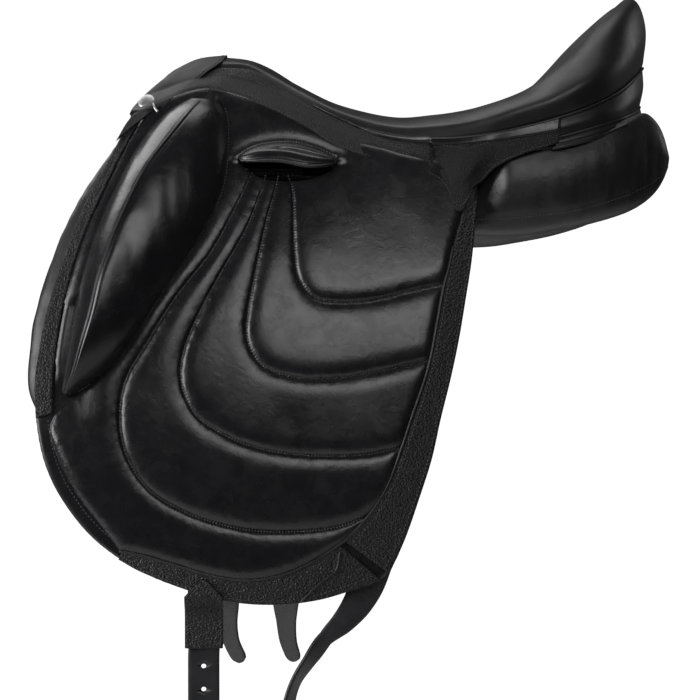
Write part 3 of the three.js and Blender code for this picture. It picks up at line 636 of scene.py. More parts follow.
def calf(name, base=CALF_BLACK, rough=0.22, crease=1.0, ior=1.47):
    """Smooth waxed calf: fine pores, soft creases, duller worn edges."""
    n = Nodes(name)
    patches = n.noise(22.0, 3.0, 0.55)
    scuff = n.math("MULTIPLY", n.edges(), n.noise(240.0, 3.0, 0.7))
    tone = n.math("ADD", n.math("MULTIPLY", patches, 0.8), n.math("MULTIPLY", scuff, 0.5))
    colour = n.ramp(tone, shades(base, scaled(base, 4.0, 0.01)))
    wipes = n.span(n.noise(60.0, 4.0, 0.6, 0.6), 0.3, 0.7, rough - 0.05, rough + 0.07)
    dull = n.math("ADD", wipes, n.math("MULTIPLY", scuff, 0.25))
    pores = n.cells(1500.0, Randomness=1.0)
    folds = n.noise(95.0, 5.0, 0.62, 1.2)
    fine = n.noise(900.0, 3.0, 0.6)
    relief = n.bumps((folds, 0.16 * crease, 0.0011), (fine, 0.16, 0.0002),
                     (pores, 0.22, 0.00016))
    return n.finish(colour, dull, relief, IOR=ior, Sheen_Weight=0.04, Sheen_Roughness=0.5)


def pebbled(name, rough, size):
    """Printed pebble grain: raised round cells with dull valleys between."""
    n = Nodes(name)
    warped = n.add("ShaderNodeVectorMath", operation="ADD")
    shift = n.add("ShaderNodeTexNoise", Scale=420.0, Detail=2.0)
    n.link(n.place, shift.inputs["Vector"])
    small = n.add("ShaderNodeVectorMath", operation="SCALE")
    small.inputs["Scale"].default_value = 0.0009
    n.link(shift.outputs["Color"], small.inputs[0])
    n.link(n.place, warped.inputs[0])
    n.link(small.outputs["Vector"], warped.inputs[1])
    at = warped.outputs["Vector"]
    pebble = n.cells(size, "SMOOTH_F1", at, Smoothness=0.35)
    valley = n.span(pebble, 0.25, 0.75, 0.0, 1.0)
    patches = n.noise(30.0, 3.0, 0.55)
    edge = n.math("MULTIPLY", n.edges(), n.noise(300.0, 2.0, 0.6))
    tone = n.math("ADD", n.math("MULTIPLY", patches, 0.75), n.math("MULTIPLY", edge, 0.4))
    colour = n.ramp(tone, shades(PEBBLE_BLACK, scaled(PEBBLE_BLACK, 3.5, 0.008)))
    dull = n.math("ADD", n.math("MULTIPLY", valley, 0.26), rough - 0.05)
    high = n.math("SUBTRACT", 1.0, pebble)
    relief = n.bumps((n.noise(110.0, 4.0, 0.6, 0.8), 0.16, 0.001), (high, 1.0, 0.0011),
                     (n.noise(2400.0, 2.0, 0.6), 0.2, 0.0001))
    return n.finish(colour, dull, relief, IOR=1.38, Sheen_Weight=0.02, Sheen_Roughness=0.5)


def strap_leather(name):
    """Waxed strap leather on the outside, grey fibre on the cut and flesh sides."""
    n = Nodes(name)
    facing = n.add("ShaderNodeSeparateXYZ")
    n.link(n.add("ShaderNodeNewGeometry").outputs["True Normal"], facing.inputs[0])
    place = n.add("ShaderNodeSeparateXYZ")
    n.link(n.place, place.inputs[0])
    outward = n.math("MULTIPLY", facing.outputs["Y"], n.math("SIGN", place.outputs["Y"], 0.0))
    flesh = n.span(outward, 0.3, -0.25, 0.0, 1.0)
    fibre = n.noise(700.0, 5.0, 0.75)
    grain = n.noise(45.0, 4.0, 0.6)
    face = n.ramp(grain, shades(STRAP_BLACK, (0.03, 0.03, 0.033)))
    back = n.ramp(fibre, [(0.3, (0.02, 0.02, 0.021)), (0.7, (0.05, 0.05, 0.05))])
    both = n.add("ShaderNodeMix", data_type="RGBA")
    n.link(flesh, both.inputs["Factor"])
    n.link(face, both.inputs[6])
    n.link(back, both.inputs[7])
    rough = n.math("ADD", n.math("MULTIPLY", flesh, 0.35), n.span(grain, 0.3, 0.7, 0.38, 0.5))
    relief = n.bumps((n.noise(160.0, 4.0, 0.65, 1.0), 0.3, 0.0009), (fibre, 0.3, 0.0003),
                     (n.cells(1100.0), 0.3, 0.0002))
    return n.finish(both.outputs[2], rough, relief, IOR=1.46)


def thread(name):
    """Waxed black thread with a fine twist."""
    n = Nodes(name)
    twist = n.waves(900.0, Distortion=2.0, Detail=1.0)
    tones = [(0.3, scaled(THREAD_BLACK, 0.6)), (0.7, THREAD_BLACK)]
    rough = n.span(twist, 0.0, 1.0, 0.4, 0.6)
    return n.finish(n.ramp(n.noise(500.0, 2.0), tones), rough, n.bump(twist, 0.4, 0.00015))


def metal(name, base, rough, scratch):
    """Polished or forged metal with light handling marks."""
    n = Nodes(name)
    marks = n.noise(300.0, 5.0, 0.7, 0.4)
    colour = n.ramp(marks, [(0.3, scaled(base, 0.82)), (0.7, base)])
    dull = n.span(marks, 0.3, 0.7, rough * 0.7, rough * 1.5)
    fine = n.bump(n.noise(1200.0, 3.0, 0.6), scratch, 0.0002)
    return n.finish(colour, dull, fine, Metallic=1.0)


def fluffy(name, low, high, size, height):
    """Foam or wool flock: a matt material of two tones."""
    n = Nodes(name)
    spots = n.cells(size)
    cloud = n.noise(size * 0.3, 5.0, 0.7)
    tone = n.math("ADD", n.math("MULTIPLY", spots, 0.5), n.math("MULTIPLY", cloud, 0.6))
    colour = n.ramp(tone, [(0.25, low), (0.75, high)])
    rough = n.span(cloud, 0.3, 0.7, 0.8, 0.98)
    return n.finish(colour, rough, n.bump(tone, 0.8, height))


def woven(name, low, high, pitch):
    """Jute webbing: two sets of crossing yarns."""
    n = Nodes(name)
    weave = n.math("MAXIMUM", *[n.waves(pitch, Distortion=0.6, bands_direction=axis)
                                for axis in ("X", "Y")])
    fuzz = n.noise(pitch * 9.0, 4.0, 0.7)
    tone = n.math("ADD", n.math("MULTIPLY", weave, 0.6), n.math("MULTIPLY", fuzz, 0.4))
    colour = n.ramp(tone, [(0.2, low), (0.8, high)])
    return n.finish(colour, n.span(fuzz, 0.3, 0.7, 0.8, 0.95), n.bump(tone, 0.8, 0.0006))


def ply(name):
    """Laminated beech, stained dark: thin layers with a soft grain under sealer."""
    n = Nodes(name)
    layers = n.waves(190.0, Distortion=3.0, Detail=2.0, bands_direction="Z")
    tone = n.math("ADD", n.math("MULTIPLY", layers, 0.5),
                  n.math("MULTIPLY", n.noise(130.0, 4.0, 0.6), 0.5))
    colour = n.ramp(tone, [(0.2, (0.05, 0.032, 0.02)), (0.8, (0.11, 0.075, 0.045))])
    return n.finish(colour, n.span(tone, 0.2, 0.8, 0.4, 0.6), n.bump(tone, 0.25, 0.0004))


CALF = calf("calf")
CAP_CALF = calf("cap_calf", rough=0.5, ior=1.3)
PANEL_CALF = calf("panel_calf", rough=0.38, crease=1.5)
QUILT_CALF = calf("quilt_calf", rough=0.25, crease=1.2)
PEBBLE = pebbled("pebble", rough=0.33, size=560.0)
SKIRT_LEATHER = pebbled("skirt_grain", rough=0.4, size=1050.0)
LINING = calf("lining", base=LINING_BLACK, rough=0.6)
SEAT_CALF = calf("seat_calf", rough=0.36)
STRAP = strap_leather("strap")
THREAD = thread("thread")
CHROME = metal("chrome", (0.5, 0.5, 0.51), 0.36, scratch=0.01)
# Near-black steel: partly a real black coat, partly painted shade that keeps the stirrup bars
# inside the hood's mouth dark.
BLACK_COAT_SHADE_STEEL = metal("black_coat_shade_steel", (0.02, 0.02, 0.021), 0.5, scratch=0.1)
FOAM = fluffy("foam", (0.42, 0.37, 0.24), (0.62, 0.57, 0.42), 900.0, 0.0008)
FLOCK = fluffy("flock", (0.5, 0.47, 0.42), (0.78, 0.76, 0.7), 420.0, 0.0015)
JUTE = woven("jute", (0.28, 0.23, 0.15), (0.58, 0.5, 0.36), 420.0)
BEECH = ply("beech")


def refinish(node, material):
    """A CAD node whose shape is right keeps it, and gets a better material."""
    for s in bpy.data.objects[node].material_slots:
        s.material = material


# ---- the flap and its quilting ----
# These runs of the edge are shared by the flap and the trims along it.
FRONT_EDGE = [[-216, 57], [-232, 26], [-245, -6], [-256, -39], [-265, -70], [-271, -101]]
REAR_EDGE = [[91, -28], [84, -63], [77, -97], [69, -130], [60, -163], [52, -196], [41, -229],
             [29, -262]]
BLOCK_EDGE = [[-124, 114], [-117, 98], [-116, 68], [-120, 34], [-131, 6], [-150, -27],
              [-174, -62], [-193, -93], [-216, -121], [-235, -136], [-248, -144]]
FLAP_FRONT = Rail([
    [-200, 92], *FRONT_EDGE, [-275, -132], [-275, -158], [-268, -196], [-253, -228],
    [-226, -261], [-188, -287], [-150, -302], [-100, -314]])
FLAP_REAR = Rail([
    [100, 54], [99, 24], *REAR_EDGE, [18, -286], [4, -298], [-14, -303], [-34, -309]])
FLAP_TOP = Rail([[-200, 92], [-172, 108], [-137, 122], [-104, 116], [-74, 105], [-30, 84],
                 [20, 66], [60, 58], [100, 54]])
FLAP_BOTTOM = Rail([[-100, -314], [-67, -314], [-34, -309]])

# Sewn channels, from the hood's mouth round to the rear band.
CHANNELS = [
    Rail([[-64, 44], [-60.5, 30], [-60, 14], [-60, -22], [-57, -46], [-45, -62],
          [-26, -66], [5, -64], [38, -56], [68, -50]]),
    Rail([[-72, 44], [-75, 30], [-83, 2], [-94, -46], [-101, -86], [-98, -105],
          [-85, -121], [-58, -129], [-27, -129], [12, -123], [51, -114]]),
    Rail([[-83, 44], [-87, 28], [-101, -6], [-124, -46], [-143, -82], [-154, -112], [-154, -136],
          [-143, -159], [-124, -173], [-97, -185], [-66, -191], [-35, -193], [-4, -192],
          [28, -186]]),
    Rail([[-94, 46], [-103, 26], [-129, -23], [-159, -62], [-182, -98], [-201, -132], [-205, -163],
          [-199, -193], [-181, -220], [-150, -239], [-120, -249], [-90, -254], [-55, -254],
          [-28, -251], [-2, -243]]),
]
# Where the padding stops: along the rear and bottom bands, and at the low front.
BAND_LINE = Rail([
    [90, 46], [84, 12], [80, -2], [75, -18], [71, -34], [65, -54], [58, -86], [50, -121],
    [35, -163], [27, -186], [13, -221], [-9, -251], [-35, -272], [-67, -288], [-97, -294],
    [-127, -291], [-158, -282], [-189, -273], [-204, -270]])
FRONT_PAD_LINE = Rail([[-204, -270], [-219, -250], [-239, -224], [-254, -196], [-262, -172],
                       [-258, -160], [-247, -152]])
STRIP_LINE = Rail([[-247, -152], [-258, -132], [-252, -68], [-244, -35], [-233, -2],
                   [-219, 31], [-206, 60], [-190, 92]])
BLOCK_FOOT = Rail([*BLOCK_EDGE, [-253, -138], [-252, -124], [-244, -70]])
# How high the pads stand, and how far from a seam each reaches its full height.
PAD_HEIGHT = 4.7
PAD_SHOULDER = 15.0
BORDER_SHOULDER = 10.0
FOOT_SHOULDER = 13.0
MOUTH_SHOULDER = 7.0
GROOVE_DEPTH = 0.7
GROOVE_WIDTH = 1.3


def inside(polygon, points):
    """Whether 2-D points lie inside a closed outline."""
    x, z = points[..., 0], points[..., 1]
    hit = np.zeros(x.shape, bool)
    for p, q in zip(polygon, np.roll(polygon, -1, axis=0)):
        crosses = (p[1] > z) != (q[1] > z)
        with np.errstate(divide="ignore", invalid="ignore"):
            at = (q[0] - p[0]) * (z - p[1]) / (q[1] - p[1]) + p[0]
        hit ^= crosses & (x < at)
    return hit


PAD_OUTLINE = np.concatenate([BAND_LINE(steps(60)), FRONT_PAD_LINE(steps(20)),
                              STRIP_LINE(steps(20)), [[-140, 130], [60, 90]]])
FOOT_OUTLINE = BLOCK_FOOT(steps(60))

HOOD_TOP = Rail([[-106, 58], [-99, 64], [-86, 69], [-61, 71], [-38, 65], [-22, 57]])
HOOD_LIP = Rail([[-105, 57], [-95, 56], [-71, 55], [-51, 51], [-34, 52], [-23, 56]])
# The lens-shaped mouth below the hood.
MOUTH_LOW = Rail([[-106, 57], [-98, 48], [-86, 41.5], [-70, 39], [-50, 40], [-35, 44.5],
                  [-26, 50], [-22, 57]])
# The hood's top again, in straight runs, to tell what lies above it.
BROW_X = [-106, -86, -61, -38, -22]
BROW_Z = [58, 69, 71, 65, 57]
BROW_FADE = 7.0
MOUTH_CENTRE = (-70, 52)
BLOCK_TIP = (-250, -148)


def shoulder(d, reach):
    """A round shoulder: 0 at a seam, and 1 from a given reach on."""
    k = np.clip(d / reach, 0, 1)
    return np.sqrt(1 - (1 - k) ** 2)


def from_spot(points, spot):
    return np.hypot(points[..., 0] - spot[0], points[..., 1] - spot[1])


def quilt(points):
    """The height of the quilted face over the flat flap, at 2-D points."""
    seams = distance_to(CHANNELS, points)
    mouth = distance_to([MOUTH_LOW], points)
    brow = distance_to([HOOD_TOP], points)
    top = np.interp(points[..., 0], BROW_X, BROW_Z)
    above = smooth_step((points[..., 1] - top + BROW_FADE) / BROW_FADE)
    borders = distance_to([BAND_LINE, FRONT_PAD_LINE, STRIP_LINE], points)
    foot = distance_to([BLOCK_FOOT], points)
    foot = np.where(inside(FOOT_OUTLINE, points), -foot, foot)
    padded = inside(PAD_OUTLINE, points)
    # the padding thins towards the hood, where the channels run together
    full = 0.35 + 0.65 * smooth_step((from_spot(points, MOUTH_CENTRE) - 12) / 80.0)
    rise = PAD_HEIGHT * full * shoulder(seams, PAD_SHOULDER) * shoulder(borders, BORDER_SHOULDER)
    rise = rise * np.clip(0.12 + 0.88 * shoulder(foot, FOOT_SHOULDER), 0.12, 1)
    rise = rise * np.clip(0.3 + 0.7 * shoulder(mouth, MOUTH_SHOULDER), 0.3, 1)
    rise = rise * smooth_step(from_spot(points, BLOCK_TIP) / 36.0)
    # the leather swells up into the hood above its top
    rise = rise + 3.0 * above * np.exp(-(brow / 8.0) ** 2)
    pocket = np.concatenate([MOUTH_LOW(steps(20)), HOOD_TOP(steps(20))[::-1]])
    rise = np.where(inside(pocket, points), rise * (1 - smooth_step(brow / BROW_FADE)), rise)
    groove = GROOVE_DEPTH * np.exp(-(seams / GROOVE_WIDTH) ** 2)
    spots = level_plane(points)
    pucker = roughen(spots, 5.5, 0.32, 3) * np.exp(-np.minimum(seams, borders) / 7.0)
    slack = roughen(spots, 46.0, 0.8, 5) + roughen(spots * [1.0, 0.55, 1.0], 17.0, 0.22, 6)
    return np.where(padded, rise + pucker + slack * np.clip(rise / 3, 0, 1), 0.0) - groove


def flap_grid(us, vs):
    return patch(FLAP_TOP, FLAP_BOTTOM, FLAP_FRONT, FLAP_REAR, us, vs)


def build_flap():
    grid = flap_grid(edged(120, 0.009), edged(136, 0.007))
    lines = CHANNELS + [BAND_LINE, FRONT_PAD_LINE, MOUTH_LOW, HOOD_TOP]
    flat, faces, rim = refined(grid, lines, (7.0, 3.2))
    back = FLAP_IN + roughen(level_plane(flat), 40.0, 0.35, 11)
    outline = [FLAP_TOP, FLAP_FRONT, FLAP_REAR, FLAP_BOTTOM]
    geometry = skin_sheet(flat, faces, rim, FLAP_OUT + quilt(flat), back, outline)
    flaps = on_flap_set("flap_leather", geometry, QUILT_CALF, "smooth_leather", ["flap"])
    mouth = np.concatenate([MOUTH_LOW(0.05 + 0.9 * steps(40)), [[-32, 63], [-60, 67], [-96, 63]]])
    window = loft([[[x, y, z] for x, z in mouth] for y in (-150, -80)])
    for ob, side in zip(flaps, SIDES):
        cut_with(ob, [for_side(side, window)])


def rows_on(line, lift, start=0.0, stop=1.0):
    """Evenly spaced points of a flat rail on the flap, with their normals."""
    return on_flap(line(start + (stop - start) * steps(int(line.length / 3.0))), lift)


def beside(line, gap):
    """A rail a little to one side of another."""
    ts = steps(int(line.length / 6.0))
    return Rail(line(ts) + turned_aside(direction(line, ts, 0.01)) * gap)


def build_flap_stitching():
    parts = []
    for line in CHANNELS:
        parts.append(stitches(*rows_on(line, FLAP_OUT - 0.55), pitch=3.1, sink=0.0))
    edge = beside(Rail(FLAP_FRONT(0.52 + 0.34 * steps(30))), -10.2)
    parts.append(stitches(*rows_on(edge, FLAP_OUT + 0.1), sink=0.0))
    on_flap_set("quilt_stitching", join(parts), THREAD, "smooth_leather")


# ---- trims of pebbled leather on the flap ----
STRIP_OUTER = Rail([[-203, 84], *FRONT_EDGE, [-275, -132], [-274, -162]])
STRIP_INNER = Rail([[-190, 92], [-206, 60], [-219, 31], [-233, -2], [-244, -35],
                    [-252, -68], [-257, -100], [-260, -132], [-260, -158]])
REAR_OUTER = Rail([[99, 26], *REAR_EDGE, [16, -290]])
REAR_INNER = Rail([[84, 10], [75, -18], [66, -54], [59, -86], [51, -121], [42, -148],
                   [33, -172], [18, -212], [-2, -243], [-22, -262]])
LOW_OUTER = Rail([[10, -295], [-14, -303], [-43, -311], [-77, -314.5], [-113, -312],
                  [-150, -302], [-188, -287], [-206, -277]])
LOW_INNER = Rail([[-24, -266], [-40, -275], [-67, -288], [-97, -294], [-127, -291],
                  [-158, -282], [-186, -273], [-203, -271]])


# Each trim's node, edges, level over the others and the places of its stitch rows across it.
TRIMS = (("front_strip", STRIP_OUTER, STRIP_INNER, 0.0, (0.2, 0.34, 0.82)),
         ("rear_band", REAR_OUTER, REAR_INNER, 0.0, (0.12, 0.86)),
         ("bottom_band", LOW_OUTER, LOW_INNER, -0.4, (0.16,)))
BAND_LAP = Rail([[-25, -272], [-28, -286], [-38, -294], [-47, -302], [-54, -309], [-57, -312]])


def trim(node, outer, inner, level):
    ts = edged(int(outer.length / 3), 0.008)
    us = edged(6, 0.1)[None, :, None]
    base, normals = on_flap(outer(ts)[:, None] * (1 - us) + inner(ts)[:, None] * us)
    wave = roughen(base, 20.0, 0.25, 17)
    geometry = sheet(base, normals, TRIM_OUT + level + wave, TRIM_IN + level - 0.6, edge=1.1)
    on_flap_set(f"{node}_leather", geometry, PEBBLE, "grain_leather", [node])


def build_trims():
    parts = []
    for node, outer, inner, level, rows in TRIMS:
        trim(node, outer, inner, level)
        for s in rows:
            middle = Rail(outer(steps(30)) * (1 - s) + inner(steps(30)) * s)
            parts.append(stitches(*rows_on(middle, TRIM_OUT + 0.15, 0.01, 0.99)))
    on_flap_set("trim_stitching", join(parts), THREAD, "grain_leather")
    cords = []
    edge = Rail(BAND_LINE(0.13 + 0.87 * steps(60)))
    for line, lift, radius in ((edge, -0.6, 1.35), (BAND_LAP, 0.2, 1.0)):
        points, normals = rows_on(line, TRIM_OUT + lift)
        cords.append(tube(points, radius, normals[0]))
    on_flap_set("flap_piping", join(cords), CALF, "smooth_leather")


# ---- the thigh block ----
BLOCK_FRONT = Rail([[-150, 115], [-174, 98], [-194, 70], [-210, 38], [-225, 2], [-236, -34],
                    [-244, -70], [-249, -101], [-252, -124], [-253, -138]])
BLOCK_RIDGE = Rail([[-137, 113], [-146, 103], [-162, 81], [-182, 53], [-197, 24],
                    [-212, -12], [-223, -47], [-230, -78], [-238, -105], [-245, -128],
                    [-251, -141]])
BLOCK_REAR = Rail(BLOCK_EDGE)
BLOCK_RISE = Rail([[0, 0.34], [0.06, 0.66], [0.16, 0.9], [0.35, 1.02], [0.6, 1.02],
                   [0.8, 0.9], [0.93, 0.62], [1, 0.28]])
BLOCK_SECTION = Rail([[0, 0], [0.4, 0.62], [1, 1.05], [1.2, 1.0], [1.5, 0.76], [1.8, 0.38],
                      [2, 0]])
BLOCK_LEVEL = 5.7


def block_point(t, across, rise):
    """A point of the block: across runs 0 to 2, over the ridge at 1."""
    high = BLOCK_HEIGHT * BLOCK_RISE.where(0, t, 1)
    front, ridge, rear = BLOCK_FRONT(t), BLOCK_RIDGE(t), BLOCK_REAR(t)
    k = np.clip(across, 0, 1)[..., None]
    m = np.clip(across - 1, 0, 1)[..., None]
    p = front * (1 - k) + ridge * k
    p = p * (1 - m) + rear * m
    return over(p[..., 0], p[..., 1], BLOCK_LEVEL + rise * high)


def build_block():
    ts = edged(84, 0.02)
    q = np.linspace(0, len(BLOCK_SECTION.p) - 1, 61)
    section = BLOCK_SECTION.knot(q)
    every = 0 * ts[:, None]
    top = block_point(ts[:, None] + 0 * q, section[None, :, 0] + every,
                      section[None, :, 1] + every)
    n = normals_of(top, OUTWARD)
    folds = roughen(top * [1.0, 0.4, 0.35], 13.0, 0.9, 21) + roughen(top, 30.0, 0.8, 22)
    calm = np.sin(math.pi * q / q[-1])[None, :] * np.sin(math.pi * ts)[:, None]
    crease = -0.9 * np.exp(-((section[:, 0] - 1.0) / 0.05) ** 2)[None, :]
    top = top + n * (folds * calm + crease)[..., None]
    foot = top.copy()
    foot[..., 1] = -flap_half(top[..., 0], top[..., 2]) - 3.0
    block = loft([list(a) + list(b[::-1]) for a, b in zip(top, foot[:, ::6])])
    for ob in on_flap_set("thigh_block_leather", block, CALF, "smooth_leather", ["thigh_block"]):
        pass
    t = 0.015 + 0.965 * steps(110)
    one = np.ones(len(t))
    cord = tube(block_point(t, one, one) + [0, -0.1, 0], 1.15, OUTWARD)
    on_flap_set("block_piping", cord, CALF, "smooth_leather")
    back = block_point(t, one * 1.1, one * 1.03)
    ups = np.tile(unit([0.1, -1.0, 0.3]), (len(t), 1))
    low = beside(Rail(BLOCK_REAR(0.04 + 0.93 * steps(40))), -1.5)
    parts = [stitches(back + [0, -0.15, 0], ups, pitch=3.0, long=2.0, thick=0.35),
             stitches(*rows_on(low, FLAP_OUT + 2.0), pitch=3.2)]
    on_flap_set("block_stitching", join(parts), THREAD, "smooth_leather")


# ---- the padded hood over the stirrup bar ----
HOOD_LEVEL = 5.2
HOOD_LEATHER = 3.2


def hood_point(u, s, lift):
    """A point of the hood: u runs along it and s from its top to its lip."""
    full = np.sin(math.pi * np.clip(u, 0.03, 0.97)) ** 0.55
    p = HOOD_TOP(u) * (1 - s[..., None]) + HOOD_LIP(u) * s[..., None]
    rise = HOOD_HEIGHT * full * np.sin(math.pi / 2 * np.minimum(s / 0.55, 1.1))
    # a soft seam splits the rear half into an upper and a lens-shaped lower pillow
    rear = smooth_step((u - 0.3) / 0.2) * smooth_step((0.98 - u) / 0.15)
    seam = np.exp(-((s - 0.4 - 0.16 * (u - 0.5)) / 0.09) ** 2)
    rise = rise - 2.8 * rear * seam - 0.5 * np.exp(-((s - 0.9) / 0.05) ** 2) * full
    return over(p[..., 0], p[..., 1], HOOD_LEVEL + np.maximum(rise, 0) + lift)


def build_hood():
    us = edged(64, 0.02)[:, None]
    ss = edged(26, 0.03)[None, :]
    grid = hood_point(us + 0 * ss, ss + 0 * us, 0.0)
    n = normals_of(grid, np.array([0.0, -1.0, 0.35]))
    puff = roughen(grid, 30.0, 0.25, 31)
    geometry = sheet(grid, n, HOOD_LEATHER + puff, 0.0, edge=2.2)
    for ob in on_flap_set("hood_leather", geometry, CALF, "smooth_leather", ["bar_pocket"]):
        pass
    u = 0.02 + 0.96 * steps(60)
    lip = hood_point(u, np.ones(len(u)) * 0.985, 2.4)
    on_flap_set("hood_binding", tube(lip, 1.4, OUTWARD), CALF, "smooth_leather")
    row = hood_point(u, np.ones(len(u)) * 0.88, 3.6)
    ups = np.tile(unit([0.0, -1.0, -0.3]), (len(u), 1))
    thread_row = stitches(row, ups, pitch=2.8, long=1.9, thick=0.33)
    on_flap_set("hood_stitching", thread_row, THREAD, "smooth_leather")


# ---- the panel's front roll ----
ROLL_LINE = Rail([[-206, 78], *FRONT_EDGE, [-274, -132], [-268, -158]])
ROLL_REACH = 17.0
ROLL_TUCK = 34.0
ROLL_LEVEL = -21.5
ROLL_HALF_THICK = 8.5


def build_roll():
    ts = np.linspace(0, 1, 90)
    outward = turned_aside(direction(ROLL_LINE, ts, 0.03))
    full = np.sin(math.pi * (0.1 + 0.85 * ts)) ** 0.4
    angles = circle(40)
    loops = []
    for q, o, f in zip(ROLL_LINE(ts), outward, full):
        reach = ROLL_REACH * f
        wide = (reach + ROLL_TUCK) / 2
        w = reach - wide + wide * np.cos(angles)
        level = ROLL_LEVEL + ROLL_HALF_THICK * f * np.sin(angles)
        loops.append(skin(q[0] + o[0] * w, q[1] + o[1] * w, level))
    loops = np.array(loops)
    # folds run along the roll
    folds = roughen(loops * [1.0, 1.0, 0.22], 7.5, 1.0, 41) + roughen(loops, 30.0, 0.6, 42)
    centre = loops.mean(axis=1, keepdims=True)
    loops = loops + unit(loops - centre) * folds[..., None] * full[:, None, None]
    for ob in on_flap_set("front_roll_leather", loft(loops), PANEL_CALF, "panel_leather",
                          ["front_roll"]):
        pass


# ---- the seat ----
SEAT_CENTRE = Rail([
    [-120, 0, 163], [-94, 0, 159], [-75, 0, 151], [-51, 0, 136], [-12, 0, 113], [34, 0, 100],
    [68, 0, 98], [98, 0, 101], [126, 0, 109], [148, 0, 119], [167, 0, 131], [185, 0, 146],
    [205, 0, 167], [229, 0, 193], [248, 0, 211]])
SEAT_CREST = Rail([
    [-120, -26, 160], [-94, -29, 157], [-75, -32, 149], [-51, -38, 134], [-12, -52, 114],
    [34, -70, 102], [68, -82, 103], [98, -93, 107], [126, -101, 115], [148, -104, 124],
    [170, -105, 137.5], [196, -100, 157], [222, -83, 183], [242, -58, 202], [256, -28, 214.5],
    [261, 0, 217.5]])
SEAT_SIDE = Rail([
    [-120, -40, 153], [-96, -45, 151], [-75, -50, 141], [-50, -58, 126], [-14, -74, 106],
    [30, -92, 92], [70, -108, 91], [102, -118, 95], [134, -126, 104], [162, -129, 113],
    [190, -127, 127], [218, -113, 144], [243, -87, 164], [262, -52, 184], [272, -22, 193],
    [274.5, 0, 195]])
SEAM_OVER_SKIRT = [[-96, -49, 145], [-78, -54, 137], [-58, -62, 122], [-17, -79, 98],
                   [27, -97, 82], [74, -113, 79], [108, -121, 82], [143, -126, 89],
                   [172, -127, 97]]
SEAT_SEAM = Rail([
    [-120, -44, 147], *SEAM_OVER_SKIRT, [202, -121, 108], [228, -103, 122], [250, -73, 139],
    [265, -39, 152], [271.5, -16, 157], [272.5, 0, 158]])
SEAT_CORE = np.array([235, 0, 180])
SEAT_PARTS = (
    # piece, node, reach across, first, last, top level, thickness, material, slot
    ("seat_foam_pad", "seat_foam", 2.35, 0.0, 0.9, -3.2, 10.6, FOAM, "foam"),
    ("seat_webbing", "seat_web", 1.65, 0.1, 0.8, -15.6, 1.6, JUTE, "webbing"))


def both_halves(half):
    """A near half and its mirror image, met on the centre plane."""
    return np.concatenate([half[:0:-1] * [1, -1, 1], half])


def seat_row(v, columns):
    c, k = SEAT_CENTRE(v), SEAT_CREST(v)
    inner = (c + k) / 2
    inner[2] -= 1.2 * (1 - np.clip((v - 0.85) * 8, 0, 1))
    return both_halves(Rail([c, inner, k, SEAT_SIDE(v), SEAT_SEAM(v)]).knot(columns))


def seat_grid(columns, rows):
    return np.array([seat_row(v, columns) for v in rows])


def seat_normals(grid):
    """Normals of the seat; the last row, folded on the centre plane, keeps to it."""
    n = normals_of(grid, np.array([0.0, 0.0, 1.0]))
    middle = grid.shape[1] // 2
    core = (grid[:, middle] + grid[:, -1] * [1, 0, 1]) / 2
    flip = np.sum(n * (grid - core[:, None]), axis=-1, keepdims=True) < 0
    n = np.where(flip, -n, n)
    last = grid[-1, middle:]
    along = np.gradient(last, axis=0)
    half = unit(np.stack([along[:, 2], 0 * along[:, 0], -along[:, 0]], -1))
    sign = np.sum(half * (last - SEAT_CORE), axis=1, keepdims=True)
    half = np.where(sign < 0, -half, half)
    crest = unit(SEAT_CREST(1.0) - SEAT_CENTRE(1.0))
    half[0] = [-crest[2], 0, crest[0]]
    n[-1] = np.concatenate([half[:0:-1], half])
    return unit(n)


def build_seat():
    columns = np.linspace(0, 4, 37)
    # fewer close rows at the end, where the two sides fold together
    rows = np.concatenate([edged(110, 0.006)[:-3], [0.9975, 1.0]])
    grid = seat_grid(columns, rows)
    # the leather tucks under the cap at the pommel
    grid = np.concatenate([grid[:1] + [-4.0, 0.0, -1.6], grid])
    rows = np.concatenate([[0.0], rows])
    n = seat_normals(grid)
    q = np.abs(np.concatenate([-columns[:0:-1], columns]))[None, :]
    back = smooth_step((rows - 0.58) / 0.3)[:, None]
    side_puff = 4.0 * back * np.exp(-((q - 2.2) / 0.6) ** 2)
    top_puff = 3.0 * back * np.exp(-((q - 1.3) / 0.8) ** 2)
    puff = side_puff + top_puff * smooth_step((1 - rows) / 0.06)[:, None]
    soft = roughen(grid, 60.0, 1.1, 51) + roughen(grid * [1.0, 0.6, 1.0], 19.0, 0.3, 52)
    inner = np.clip(1 - np.abs(grid[..., 1]) / 130.0, 0.1, 1)
    fade = np.minimum(smooth_step(rows / 0.1), smooth_step((1 - rows) / 0.05))[:, None]
    lift = soft * inner * fade + puff
    geometry = sheet(grid, n, lift, lift - SEAT_LEATHER, edge=1.6, folded=True)
    single("seat_leather", geometry, SEAT_CALF, "smooth_leather", ["seat_cover"])


def build_seat_inside():
    """Foam and webbing under the leather."""
    for name, node, most, first, last, top, thick, material, slot in SEAT_PARTS:
        part = seat_grid(np.linspace(0, most, 24), np.linspace(first, last, 70))
        up = normals_of(part, np.array([-0.3, 0.0, 1.0]))
        wave = roughen(part, 25.0, 0.4, 55)
        body = sheet(part, up, top + 0 * wave, top - thick + wave, edge=1.0)
        ob = single(name, body, material, slot, [node])


def build_seat_piping():
    seam = SEAT_SEAM(0.004 + 0.985 * steps(200))
    whole = np.concatenate([seam, SEAT_SEAM(1.0)[None], seam[::-1] * [1, -1, 1]])
    single("seat_piping", tube(whole + [0, 0, -0.4], 1.1, UPWARD), CALF, "smooth_leather")


